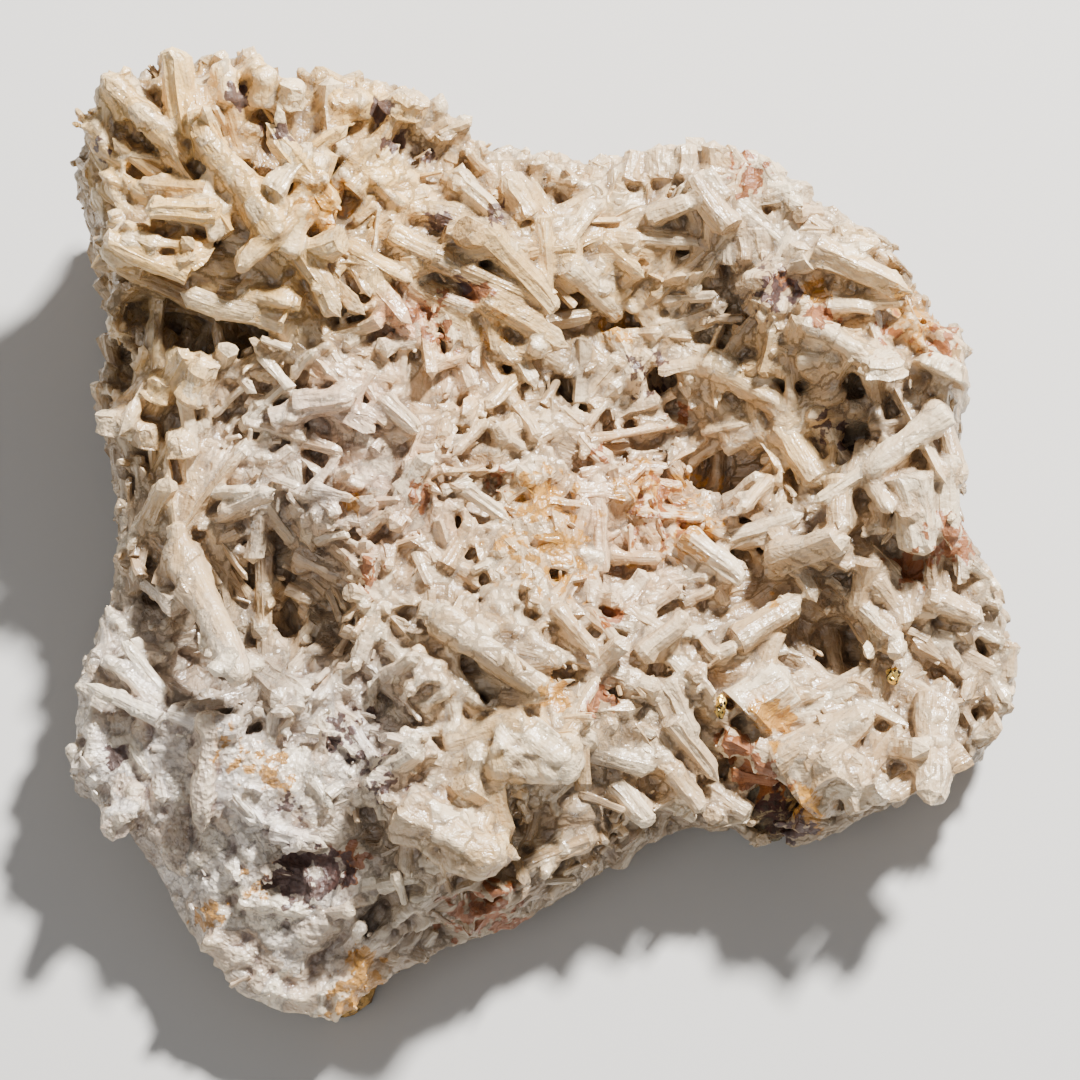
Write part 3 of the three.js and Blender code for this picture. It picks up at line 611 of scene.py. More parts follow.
# The knob and the other places where the crystals are stout and rounded: across, down, half width.
STOUT_PLACES = [
    (24, 20, 13), (36, 16, 9), (46, 18, 6), (20, 34, 7), (103, 48, 5), (109, 58, 6), (92, 52, 5),
    (115, 44, 4), (15, 82, 6), (23, 76, 4), (60, 82, 7),
]
# A face seen edge on counts as this much in the eye's sight, and gains this much as it turns to the eye.
EDGE_ON_SIGHT = 0.35
SIGHT_GAIN = 1.6
# How sugary the skin is: everywhere, and on the walls that turn away from the eye.
CRUST_SHARE = 0.1
WALL_CRUST = 0.9
FOLD_ROUNDS = 7
FOLD_DEPTH = 0.38 * MM
# Points along a crystal's axis, a millimetre apart, tell which crystal a corner of the network belongs to.
AXIS_FEWEST_POINTS = 3
AXIS_ENDS = (0.05, 0.95)
RIB_STRETCH = 0.88
RIB_SEED = 5
RIB_CELL = 0.75 * MM
RIB_HEIGHT = 0.09 * MM
CRUST_CELL = 1.7 * MM
CRUST_HEIGHT = 0.5 * MM
GRIT_CELL = 0.9 * MM
GRIT_HEIGHT = 0.28 * MM
# The network is cut into six pieces by two planes across and one along.
WEST_CUT = Vector((-22 * MM, 0, 0))
EAST_CUT = Vector((18 * MM, 0, 0))
MIDDLE_CUT = Vector((0, -4 * MM, 0))

axis_points = []
axis_owners = []
network_stands = large_stands + middle_stands + gap_stands
for owner, (shape, turn, root, tint) in enumerate(network_stands):
    steps = max(AXIS_FEWEST_POINTS, int(np.linalg.norm(turn[:, 2]) / MM))
    for share in np.linspace(*AXIS_ENDS, steps):
        axis_points.append(root + turn[:, 2] * share)
        axis_owners.append(owner)
axis_tree = KDTree(len(axis_points))
for number, point in enumerate(axis_points):
    axis_tree.insert(point, number)
axis_tree.balance()
axis_owners = np.array(axis_owners)


def ribbed_places(points, owners, stands):
    """Each point moved so that lengths along its own crystal shrink, which draws noise out into ribs."""
    axes = np.array([stand[1][:, 2] for stand in stands])
    axes /= np.linalg.norm(axes, axis=1)[:, None]
    own = axes[owners]
    along = (points * own).sum(axis=1)
    shifts = np.random.default_rng(RIB_SEED).uniform(0, 1, (len(stands), 3))
    return points - own * (along * RIB_STRETCH)[:, None] + shifts[owners]


def give_values(mesh, name, values):
    """Stores one number, or three, at each corner of a mesh."""
    if values.ndim == 1:
        mesh.attributes.new(name, "FLOAT", "POINT").data.foreach_set("value", values)
    else:
        mesh.attributes.new(name, "FLOAT_VECTOR", "POINT").data.foreach_set("vector", values.ravel())


def in_sight(mesh):
    """How far each corner of a mesh faces the eye, from 0 on the walls that turn away to 1 on the top."""
    return np.clip(EDGE_ON_SIGHT + SIGHT_GAIN * (corner_normals(mesh) @ np.array(towards_eye)), 0, 1)


def zone_piece(mesh, name, cuts):
    """The part of a closed mesh that lies behind every cut, closed again. A cut is a place and a way."""
    part = bmesh.new()
    part.from_mesh(mesh)
    for place, way in cuts:
        everything = part.verts[:] + part.edges[:] + part.faces[:]
        bmesh.ops.bisect_plane(part, geom=everything, plane_co=place, plane_no=way, clear_outer=True)
        rim = [edge for edge in part.edges if edge.is_boundary]
        lids = bmesh.ops.holes_fill(part, edges=rim)["faces"]
        for edge in rim:
            edge.smooth = False
        for lid in lids:
            lid.smooth = False
    bmesh.ops.triangulate(part, faces=[face for face in part.faces if len(face.verts) > 4])
    cut = bpy.data.meshes.new(name)
    part.to_mesh(cut)
    part.free()
    return piece_from(cut, name)


def edge_ends(mesh):
    """The numbers of the corners at the two ends of every edge."""
    ends = np.empty(len(mesh.edges) * 2, dtype=np.int32)
    mesh.edges.foreach_get("vertices", ends)
    return ends.reshape(-1, 2).T


def neighbour_means(places, first, second):
    """The middle of each corner's neighbours along the edges."""
    count = len(places)
    neighbours = np.maximum(np.bincount(first, minlength=count) + np.bincount(second, minlength=count), 1)
    columns = []
    for column in places.T:
        total = np.bincount(first, column[second], count) + np.bincount(second, column[first], count)
        columns.append(total / neighbours)
    return np.stack(columns, axis=1)


def folds(mesh):
    """How deep each corner lies in a fold: how far the mesh would rise there if it were smoothed."""
    places = corner_places(mesh)
    first, second = edge_ends(mesh)
    smoothed = places
    for each_round in range(FOLD_ROUNDS):
        smoothed = neighbour_means(smoothed, first, second)
    rise = ((smoothed - places) * corner_normals(mesh)).sum(axis=1)
    return np.clip(rise / FOLD_DEPTH, -1, 1)


def fused(mesh, rounds, worn):
    """Fills the creases where crystals have grown together, and rounds the ridges by a worn share."""
    first, second = edge_ends(mesh)
    places = corner_places(mesh)
    normals = corner_normals(mesh)
    for each_round in range(rounds):
        drift = neighbour_means(places, first, second) - places
        filling = (drift * normals).sum(axis=1) > 0
        places = places + drift * np.where(filling, FILLED_SHARE, FILLED_SHARE * worn)[:, None]
    move_corners(mesh, places)


def largest_island(mesh):
    """The largest connected part of a mesh: loose chips and the walls of sealed hollows are left behind."""
    first, second = edge_ends(mesh)
    labels = np.arange(len(mesh.vertices))
    while True:
        lowest = np.minimum(labels[first], labels[second])
        merged = labels.copy()
        np.minimum.at(merged, labels[first], lowest)
        np.minimum.at(merged, labels[second], lowest)
        merged = merged[merged]
        if (merged == labels).all():
            break
        labels = merged
    kept = labels == np.bincount(labels).argmax()
    sizes = np.empty(len(mesh.polygons), dtype=np.int32)
    mesh.polygons.foreach_get("loop_total", sizes)
    rings = np.empty(len(mesh.loops), dtype=np.int32)
    mesh.loops.foreach_get("vertex_index", rings)
    kept_loops = kept[rings]
    kept_faces = kept_loops[np.concatenate([[0], np.cumsum(sizes)[:-1]])]
    places = corner_places(mesh)[kept]
    bpy.data.meshes.remove(mesh)
    return mesh_of("network", places, sizes[kept_faces], (np.cumsum(kept) - 1)[rings[kept_loops]])


seed_shape = bmesh.new()
seed_shape.from_mesh(core)
crowds = [(large_shapes, large_stands), (middle_shapes, middle_stands), (gap_shapes, gap_stands)]
for shapes, stands in crowds:
    crowd = joined_copies("crowd", shapes, stands)[0]
    seed_shape.from_mesh(crowd)
    bpy.data.meshes.remove(crowd)
network = remeshed(mesh_from(seed_shape, "network"), NETWORK_VOXEL, NETWORK_SMOOTHINGS)
seed_shape.free()
network = largest_island(network)
on_top = in_sight(network)
stout = nearness(picture_places(corner_places(network)), STOUT_PLACES) * on_top
fused(network, FUSED_ROUNDS, RIDGE_WEAR + STOUT_WEAR * stout)
places = corner_places(network)
owners = axis_owners[[axis_tree.find(place)[1] for place in places]]
ribs = ribbed_places(places, owners, network_stands)
crusted = CRUST_SHARE + (1 - CRUST_SHARE) * nearness(picture_places(places), SMOOTH_CRUSTS)
crusted = np.maximum(crusted, WALL_CRUST * (1 - on_top))
bump = RIB_HEIGHT * lattice_noise(ribs, RIB_CELL, 11)
bump += CRUST_HEIGHT * crusted * lattice_noise(places, CRUST_CELL, 12)
bump += GRIT_HEIGHT * crusted * lattice_noise(places, GRIT_CELL, 13)
places = places + corner_normals(network) * bump[:, None]
move_corners(network, places)
shade(network, True)
network_normals = corner_normals(network)
network_tree = KDTree(len(places))
for number, place in enumerate(places):
    network_tree.insert(place, number)
network_tree.balance()
give_values(network, "ribs", ribs)
give_values(network, "tint", np.array([stand[3] for stand in network_stands])[owners])
# Fold depth drives painted shade and dirt in the hollows and a painted highlight on the ridges.
give_values(network, "fold_shade_and_highlight", folds(network))

east = Vector((1, 0, 0))
north = Vector((0, 1, 0))
columns = {
    "west": [(WEST_CUT, east)],
    "middle": [(WEST_CUT, -east), (EAST_CUT, east)],
    "east": [(EAST_CUT, -east)],
}
halves = {"north": (MIDDLE_CUT, -north), "south": (MIDDLE_CUT, north)}
crystal_pieces = []
for column, edges in columns.items():
    for half, edge in halves.items():
        crystal_pieces.append(zone_piece(network, f"network_{half}_{column}", edges + [edge]))
bpy.data.meshes.remove(network)


# The crisp faces of the large and middle prisms, which lie among the network's worn ones, and the thin
# blades and needles that have grown on everything since. Stout places that face the eye are worn, without.

MIDDLE_SHARE = 0.985
# Where along a crystal it has to touch the network, and how far off, in widths, still counts as touching.
HELD_AT = (0.1, 0.45)
TOUCHING = 0.4
WORN_FROM = 0.2
# The painted shade that a crystal's height gives it, dark at the root and a painted highlight towards the
# tip, where the network's comes from its folds.
ROOT_PAINTED_SHADE = 0.35
PAINTED_SHADE_FALL = 0.9
BLADE_SHAPES = 10
SMALL_SHAPES = 12
SMALL_LEVELS = [(0.3, 1.0), (0.85, 0.88)]


def rooted(stands, share=1):
    """The crystals that touch the network near their foot or middle, at a share of their thickness."""
    held = []
    seen = picture_places(np.array([root + turn[:, 2] / 2 for shape, turn, root, tint in stands]))
    for (shape, turn, root, tint), stoutness in zip(stands, nearness(seen, STOUT_PLACES)):
        reach = np.linalg.norm(turn[:, 0]) * TOUCHING
        for part in HELD_AT:
            point = root + turn[:, 2] * part
            nearest, number, gap = network_tree.find(point)
            faces_eye = network_normals[number] @ np.array(towards_eye) > WORN_FROM
            worn_away = stoutness > WORN_FROM and faces_eye
            if not worn_away and (point - np.array(nearest)) @ network_normals[number] < reach:
                held.append((shape, turn * np.array([share, share, 1]), root, tint))
                break
    return held


def crisp_piece(name, shapes, stands):
    mesh, alongs, owners = joined_copies(name, shapes, stands)
    give_values(mesh, "ribs", ribbed_places(corner_places(mesh), owners, stands))
    give_values(mesh, "tint", np.array([stand[3] for stand in stands])[owners])
    # Painted shade near each root, fading to a painted highlight at the tip.
    give_values(mesh, "fold_shade_and_highlight", ROOT_PAINTED_SHADE - PAINTED_SHADE_FALL * alongs)
    return piece_from(mesh, name)


blade_shapes = shape_family(
    BLADE_SHAPES, 70, 7, MIDDLE_LEVELS, groove=0.2, unevenness=0.12, bend=0.12, tip=0.4,
)
blade_stands = grown_stands(
    450, BLADE_SHAPES, seed=17, widths=(0.9, 2.2), lengths=(3, 8), spread=0.8, rise=(0.05, 0.5),
    sunk=(0.2, 0.8), smooth_loss=0.95, clear_of_large=0.9,
)
small_shapes = shape_family(
    SMALL_SHAPES, 90, PRISM_SIDES, SMALL_LEVELS, groove=0.2, unevenness=0.12, bend=0.1, tip=0.4,
)
small_stands = grown_stands(
    2600, SMALL_SHAPES, seed=9, widths=(0.35, 0.95), lengths=(1.0, 3.0), spread=1.6, rise=(0.1, 1.1),
    sunk=(0.3, 2.0), smooth_loss=0.2, clear_of_large=0.85,
)
crystal_pieces += [
    crisp_piece("large_crystals", large_shapes, rooted(large_stands[len(CRUSTED_CRYSTALS):])),
    crisp_piece("middle_crystals", middle_shapes, rooted(middle_stands, MIDDLE_SHARE)),
    crisp_piece("blade_crystals", blade_shapes, rooted(blade_stands)),
    crisp_piece("small_crystals", small_shapes, rooted(small_stands)),
]


# The cerussite's finish. It is lead carbonate, colourless to white, grown with a silky to resinous skin,
# stained cream by iron, and painted browner as shade and dirt the deeper one looks between the crystals.

# How deep a corner lies is its depth under the highest crystal within a reach, all in millimetres.
# The depth is painted as shade and dirt, browner the deeper.
EYE_SPACING = 1.0
CREST_MARGIN = 4
CREST_REACH = 4
DEEPEST = 9.0
# A stain is whole out to half its reach, and has faded out at this many reaches.
STAIN_FADES_AT = 1.5
BROAD_PATCH = 2.2 * MM
FINE_PATCH = 0.8 * MM
BROAD_SHARE = 0.6
FINE_SHARE = 0.5
# How many cells of each pattern in the crystals go to a metre: clouds of colour, the grain of the skin, the
# streaks and sparkling facets, which are drawn coarser than they are so that they show, mottles, flecks and
# veins.
CLOUD_SCALE = 240.0
GRAIN_SCALE = 1200.0
STREAK_SCALE = 1500.0
FACET_SCALE = 1500.0
MOTTLE_SCALE = 430.0
FLECK_SCALE = 650.0
VEIN_SCALE = 420.0
SKIN_RELIEF = 0.5 * MM
# How much the flecks break a stain, and the narrow edge that makes them firm.
FLECK_SHARE = 0.68
FLECK_EDGE = (0.72, 0.88)
# Veins are where the noise comes this near its middle.
VEIN_EDGE = (0.022, 0.006)
ROUGHNESS_SWING = 0.15
STAIN_ROUGHNESS = 0.45
# Cerussite bends light strongly, which gives its faces an almost metallic gloss.
CERUSSITE_IOR = 1.8
# Where the specimen's colour turns: across, down, reach and strength.
CREAM_PLACES = [
    (28, 20, 24, 1.4), (45, 124, 4.5, 1.3), (62, 35, 14, 0.6), (22, 46, 7, 0.8), (46, 28, 12, 0.6),
    (66, 94, 9, 0.4), (112, 36, 9, 0.5), (28, 57, 9, 0.8), (75, 34, 10, 0.6), (94, 46, 7, 0.5),
    (100, 56, 6, 0.5), (64, 104, 6, 0.5), (30, 76, 6, 0.5),
]
LILAC_PLACES = [
    (22, 102, 20, 1.0), (36, 116, 14, 0.8), (42, 92, 10, 0.7), (37, 58, 12, 0.6), (16, 84, 9, 0.7),
]
PINK_PLACES = [(50, 40, 3.4, 1.0), (50, 62, 9, 0.35), (80, 65, 10, 0.4), (44, 52, 8, 0.3), (57, 47, 4, 0.4)]
# Where thin dark films line the joints between the crystals.
VEINED_PLACES = [
    (45, 19, 11, 0.8), (54, 33, 9, 0.9), (62, 45, 8, 0.7), (45, 92, 8, 0.8), (33, 108, 10, 0.8),
    (15, 15, 6, 0.8), (34, 18, 5, 0.8), (14, 96, 5, 0.7), (48, 66, 6, 0.4), (94, 36, 8, 0.6),
    (42, 55, 6, 0.4), (20, 104, 9, 0.7),
]
RUST_PLACES = [
    (92, 93.8, 2.0, 1.0), (94, 96.5, 2.2, 1.0), (96.5, 99, 1.8, 1.0), (74.6, 87.5, 1.8, 1.0),
    (76.3, 76.9, 1.1, 0.9), (113.8, 71.3, 2.2, 0.8), (97.5, 35.6, 1.8, 0.9), (102.5, 39.4, 1.5, 0.9),
    (111.3, 41.9, 2.2, 0.45), (118, 42.5, 2.4, 0.5), (118.8, 68, 2.6, 0.8), (61.3, 114, 4.0, 0.7),
    (43.1, 108, 2.6, 0.7), (59.4, 36.3, 1.3, 1.0), (55, 40, 3.0, 0.5), (82, 64, 4.0, 0.4), (46, 72, 2.0, 0.6),
    (52, 62, 1.6, 0.7), (94, 22, 2.5, 0.6), (85, 52, 1.5, 0.6), (75, 57, 1.2, 0.6), (62, 60, 1.5, 0.5),
]
OCHRE_PLACES = [
    (40.6, 25.6, 2.4, 0.8), (31, 95, 2.6, 0.6), (35, 97, 2.2, 0.6), (67.5, 61.9, 2.8, 0.9),
    (70.6, 68.8, 2.8, 0.8), (80, 62, 3.4, 0.6), (86, 66, 3.4, 0.6), (69.4, 87.5, 2.0, 0.7),
    (101.9, 36.3, 1.8, 0.9),
    (100.6, 101.3, 2.4, 0.9), (96.3, 90, 2.4, 0.9), (26.3, 113.8, 2.0, 0.8), (77, 41, 2.0, 0.5),
    (62, 41, 2.0, 0.4), (33, 110, 2.5, 0.4), (44, 63, 1.5, 0.5), (97, 75, 1.5, 0.4), (115, 40, 3.5, 0.6),
    (45, 122.5, 2.8, 0.9), (44.3, 126, 3.0, 0.9), (68, 68, 6.0, 0.4), (84, 64, 6.0, 0.35), (28, 93, 1.6, 0.6),
]
DARK_PLACES = [
    (29.4, 11.9, 1.5, 1.0), (35, 16.2, 1.3, 1.0), (47.5, 14, 1.3, 1.0), (49.4, 18.1, 1.1, 0.9),
    (53.8, 19.4, 1.1, 0.9), (37, 110.5, 2.8, 0.9), (41.5, 108.5, 2.2, 0.8), (14.4, 95, 1.2, 0.9),
    (97, 101.6, 1.8, 0.9), (99.5, 103.5, 1.8, 0.9), (62.5, 26.5, 1.4, 0.8), (55, 27.1, 1.2, 0.8),
    (44, 92, 3.0, 0.5), (48, 97, 2.5, 0.5), (81.5, 47, 2.5, 0.5), (58, 35, 1.2, 0.9),
    (13, 18, 1.5, 0.4), (36, 101, 2.0, 0.4), (97, 36, 2.6, 0.6), (104, 54, 2.5, 0.4),
]
# What each channel of the two colour attributes holds: its places, and how ragged their edges are.
STAIN_CHANNELS = [(RUST_PLACES, 0.9), (OCHRE_PLACES, 0.9), (DARK_PLACES, 1.1)]
REGION_CHANNELS = [(CREAM_PLACES, 0.15), (LILAC_PLACES, 0.15), (PINK_PLACES, 0.3)]
VEIN_RAGGEDNESS = 0.6


def hex_colour(code):
    """An sRGB hex colour as the linear red, green, blue and alpha that the shaders use."""
    parts = np.array([int(code[start:start + 2], 16) / 255 for start in (1, 3, 5)])
    linear = np.where(parts <= 0.04045, parts / 12.92, ((parts + 0.055) / 1.055) ** 2.4)
    return (*linear.tolist(), 1)


def stained(seen, stain_places, noise, raggedness):
    """How strongly each seen place is stained, from soft spots with ragged edges."""
    total = np.zeros(len(seen))
    for across, down, reach, strength in stain_places:
        distance = np.hypot(seen[:, 0] - across, seen[:, 1] - down) / reach
        total = np.maximum(total, strength * np.clip(STAIN_FADES_AT - distance + raggedness * noise, 0, 1))
    return total


def crest_heights(pieces):
    """The highest point near each square millimetre of the plan, over all the pieces."""
    low = np.array(cad_low) / MM - CREST_MARGIN
    cells = np.ceil((np.array(cad_high) / MM + CREST_MARGIN - low)[:2] / EYE_SPACING).astype(int)
    heights = np.zeros(cells)
    for piece in pieces:
        points = corner_places(piece.data) / MM
        at = np.clip(((points[:, :2] - low[:2]) / EYE_SPACING).astype(int), 0, cells - 1)
        np.maximum.at(heights, (at[:, 0], at[:, 1]), points[:, 2])
    spread = heights.copy()
    for shift_x in range(-CREST_REACH, CREST_REACH + 1):
        for shift_y in range(-CREST_REACH, CREST_REACH + 1):
            if shift_x ** 2 + shift_y ** 2 <= CREST_REACH ** 2:
                spread = np.maximum(spread, np.roll(heights, (shift_x, shift_y), axis=(0, 1)))
    return low, cells, spread


crest_low, crest_cells, crests = crest_heights(crystal_pieces)


def mark_stains_and_depth_shade(mesh):
    """Gives a mesh the attributes that its material reads: stains, regions and how deep each corner lies, for
    painted shade.
    """
    points = corner_places(mesh)
    seen = picture_places(points)
    broad = lattice_noise(points, BROAD_PATCH, 21)
    fine = lattice_noise(points, FINE_PATCH, 22)
    ragged = BROAD_SHARE * broad + FINE_SHARE * fine
    at = np.clip(((points[:, :2] / MM - crest_low[:2]) / EYE_SPACING).astype(int), 0, crest_cells - 1)
    depth = np.clip((crests[at[:, 0], at[:, 1]] - points[:, 2] / MM) / DEEPEST, 0, 1)
    facing = in_sight(mesh)
    stains = [stained(seen, places, ragged, edge) * facing for places, edge in STAIN_CHANNELS]
    regions = [stained(seen, places, broad, edge) for places, edge in REGION_CHANNELS]
    veined = stained(seen, VEINED_PLACES, broad, VEIN_RAGGEDNESS) * facing
    # The stains attribute carries the depth, painted as shade and dirt, in its alpha.
    for name, channels in (("stains", stains + [depth]), ("regions", regions + [veined])):
        values = np.stack(channels, axis=1)
        mesh.attributes.new(name, "FLOAT_COLOR", "POINT").data.foreach_set("color", values.ravel())


def add_node(tree, kind, settings=None, **links):
    """A node with its settings, and its inputs set to values or linked from sockets, by name or number."""
    node = tree.nodes.new(kind)
    for name, value in (settings or {}).items():
        setattr(node, name, value)
    for name, value in links.items():
        socket = node.inputs[int(name[1:]) if name[0] == "_" else name.replace("_", " ")]
        if isinstance(value, bpy.types.NodeSocket):
            tree.links.new(value, socket)
        else:
            socket.default_value = value
    return node


def laid_over(tree, colour, upper, value, low=0.0, high=1.0, strength=1.0, climb="SMOOTHSTEP"):
    """A colour with another laid over it, which gains its strength as a value goes from low to high."""
    share = add_node(
        tree, "ShaderNodeMapRange", {"interpolation_type": climb},
        Value=value, From_Min=low, From_Max=high, To_Max=strength,
    )
    upper = hex_colour(upper) if isinstance(upper, str) else upper
    mix = add_node(tree, "ShaderNodeMix", {"data_type": "RGBA"}, _0=share.outputs[0], _6=colour, _7=upper)
    return mix.outputs[2]


def stained_colour(tree, colour, stain, noise, fleck_low, fleck_high, ochre_colour):
    """Iron stains over a colour: a dust of ochre, then ochre, rust and dark goethite in firm flecks."""
    colour = laid_over(tree, colour, "#C98F3C", stain.outputs["Green"], 0.0, 0.9, 0.35)
    flecks = add_node(
        tree, "ShaderNodeMapRange", {"interpolation_type": "SMOOTHSTEP"},
        Value=noise, From_Min=fleck_low, From_Max=fleck_high,
    )
    for channel, code, strength in (
        ("Green", ochre_colour, 0.9),
        ("Red", "#8A4A0C", 0.95),
        ("Blue", "#45241B", 0.95),
    ):
        broken = add_node(
            tree, "ShaderNodeMath", {"operation": "MULTIPLY_ADD"},
            _0=flecks.outputs[0], _1=FLECK_SHARE, _2=stain.outputs[channel],
        )
        colour = laid_over(tree, colour, code, broken.outputs[0], *FLECK_EDGE, strength)
    return colour


def cerussite_finish(name, roughness, druse_strength):
    """Cerussite as it grew: a glossy, streaked skin on prisms, and a sparkling sugary crust."""
    material = bpy.data.materials.new(name)
    material.use_nodes = True
    tree = material.node_tree
    shader = tree.nodes["Principled BSDF"]
    place = add_node(tree, "ShaderNodeTexCoord").outputs["Object"]
    rib_place = add_node(tree, "ShaderNodeAttribute", {"attribute_name": "ribs"}).outputs["Vector"]
    tint = add_node(tree, "ShaderNodeAttribute", {"attribute_name": "tint"}).outputs["Fac"]
    fold_shade_and_highlight = add_node(tree, "ShaderNodeAttribute", {"attribute_name": "fold_shade_and_highlight"}).outputs["Fac"]
    stains = add_node(tree, "ShaderNodeAttribute", {"attribute_name": "stains"})
    stain = add_node(tree, "ShaderNodeSeparateColor", None, Color=stains.outputs["Color"])
    regions = add_node(tree, "ShaderNodeAttribute", {"attribute_name": "regions"})
    region = add_node(tree, "ShaderNodeSeparateColor", None, Color=regions.outputs["Color"])
    patterns = {}
    for pattern, where, scale, detail, distortion in (
        ("cloud", place, CLOUD_SCALE, 2.0, 0.0),
        ("grain", place, GRAIN_SCALE, 3.0, 0.0),
        ("streak", rib_place, STREAK_SCALE, 2.0, 0.0),
        ("mottle", place, MOTTLE_SCALE, 3.0, 0.0),
        ("fleck", place, FLECK_SCALE, 2.0, 0.0),
        ("vein", place, VEIN_SCALE, 3.0, 0.6),
    ):
        noise = add_node(
            tree, "ShaderNodeTexNoise", None,
            Vector=where, Scale=scale, Detail=detail, Distortion=distortion,
        )
        patterns[pattern] = noise.outputs["Fac"]

    # Cloudy buff, then the cream, lilac-grey and pink stretches.
    colour = laid_over(tree, hex_colour("#C6A67D"), "#DABE97", patterns["cloud"], 0.35, 0.65)
    colour = laid_over(tree, colour, "#EABC70", region.outputs["Red"], climb="LINEAR")
    colour = laid_over(tree, colour, "#E6DACD", region.outputs["Green"], climb="LINEAR")
    colour = laid_over(tree, colour, "#D8966C", region.outputs["Blue"], strength=0.8, climb="LINEAR")
    # Some crystals are browner and some paler, each is streaked along its length, and the skin is mottled.
    colour = laid_over(tree, colour, "#B58D5A", tint, 0.6, 1.0, 0.5)
    colour = laid_over(tree, colour, "#F6E4C2", tint, 0.45, 0.0, 0.5)
    colour = laid_over(tree, colour, "#A67F50", patterns["streak"], 0.55, 0.75, 0.45)
    colour = laid_over(tree, colour, "#9C8468", patterns["mottle"], 0.5, 0.7, 0.38)
    # Painted highlight makes the ridges pale; painted shade and dirt make the folds brown, or mauve in the
    # lilac stretches, and the depths browner still.
    colour = laid_over(tree, colour, "#F7E3BE", fold_shade_and_highlight, -0.1, -0.7, 0.3)
    crevice_shade_and_dirt = laid_over(tree, hex_colour("#7C644B"), "#6B504A", region.outputs["Green"], climb="LINEAR")
    colour = laid_over(tree, colour, crevice_shade_and_dirt, fold_shade_and_highlight, 0.14, 0.7, 0.75)
    # The stains attribute's alpha is the depth below the crests, painted as shade and dirt.
    colour = laid_over(tree, colour, "#6F5B47", stains.outputs["Alpha"], 0.2, 1.0, 0.6)
    colour = stained_colour(tree, colour, stain, patterns["fleck"], 0.35, 0.65, "#B9802A")
    # Thin dark veins run where the vein noise crosses its middle.
    gap = add_node(tree, "ShaderNodeMath", {"operation": "SUBTRACT"}, _0=patterns["vein"], _1=0.5)
    distance = add_node(tree, "ShaderNodeMath", {"operation": "ABSOLUTE"}, _0=gap.outputs[0])
    line = add_node(
        tree, "ShaderNodeMapRange", {"interpolation_type": "SMOOTHSTEP"},
        Value=distance.outputs[0], From_Min=VEIN_EDGE[0], From_Max=VEIN_EDGE[1],
    )
    veins = add_node(
        tree, "ShaderNodeMath", {"operation": "MULTIPLY"}, _0=line.outputs[0], _1=regions.outputs["Alpha"],
    )
    colour = laid_over(tree, colour, "#4A2C20", veins.outputs[0], strength=0.6, climb="LINEAR")
    tree.links.new(colour, shader.inputs["Base Color"])

    # The skin is silky where it is clean and dull where it is stained.
    sheen = add_node(
        tree, "ShaderNodeMapRange", None, Value=patterns["streak"], From_Min=0.35, From_Max=0.65,
        To_Min=roughness - ROUGHNESS_SWING, To_Max=roughness + ROUGHNESS_SWING,
    )
    earthy = add_node(
        tree, "ShaderNodeMath", {"operation": "MAXIMUM"}, _0=stain.outputs["Red"], _1=stain.outputs["Blue"],
    )
    dulled = add_node(
        tree, "ShaderNodeMath", {"operation": "MULTIPLY_ADD"},
        _0=earthy.outputs[0], _1=STAIN_ROUGHNESS, _2=sheen.outputs[0],
    )
    tree.links.new(dulled.outputs[0], shader.inputs["Roughness"])
    shader.inputs["IOR"].default_value = CERUSSITE_IOR
    # A little light passes under the skin, the red of it deepest.
    shader.inputs["Subsurface Weight"].default_value = 0.1
    shader.inputs["Subsurface Radius"].default_value = (1.0, 0.8, 0.5)
    shader.inputs["Subsurface Scale"].default_value = 0.9 * MM

    # Streaks, the grain of the skin, and facets in the sugary lilac stretches.
    facets = add_node(tree, "ShaderNodeTexVoronoi", None, Vector=place, Scale=FACET_SCALE)
    sparkle = add_node(
        tree, "ShaderNodeMath", {"operation": "MULTIPLY"}, _0=region.outputs["Green"], _1=druse_strength,
    )
    relief = {}
    for height, strength in (
        (patterns["streak"], 0.7), (patterns["grain"], 0.6), (facets.outputs["Distance"], sparkle.outputs[0]),
    ):
        bump = add_node(
            tree, "ShaderNodeBump", None, Height=height, Strength=strength, Distance=SKIN_RELIEF, **relief,
        )
        relief = {"Normal": bump.outputs["Normal"]}
    tree.links.new(relief["Normal"], shader.inputs["Normal"])
    return material


prism_finish = cerussite_finish("cerussite_prisms", roughness=0.3, druse_strength=0.1)
crust_finish = cerussite_finish("cerussite_crust", roughness=0.36, druse_strength=0.6)
for piece in crystal_pieces:
    mark_stains_and_depth_shade(piece.data)
    piece.data.materials.append(crust_finish if piece.name.startswith("network") else prism_finish)
    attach(piece, "root")
    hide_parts("cerussite_crystals")


# The gossan: earthy iron oxide rock that the crystals grew on. It is ochre where it is powdery, brown where
# it is dense, and cut flat underneath to rest on.

ROCK_VOXEL = 0.75 * MM
# Its broken surface: the size of each kind of break, how deep it goes in millimetres, and its seed.
ROCK_BREAKS = [(5.0 * MM, 1.7, 31), (2.4 * MM, 1.0, 32), (1.2 * MM, 0.5, 33)]
# The cut face stays flat up to this level, and the breaks are whole this much higher.
CUT_LEVEL = 0.6 * MM
CUT_FADE = 1.5 * MM
# Walls break most, and faces that look straight up, under the crystals, least.
BREAKS_ON_WALL = 1.2
BREAKS_ON_TOP = 0.2
# How many patches of its colour, cells of its powder and grains of its grit go to a metre.
PATCH_SCALE = 130.0
POWDER_SCALE = 420.0
ROCK_GRIT_SCALE = 1100.0

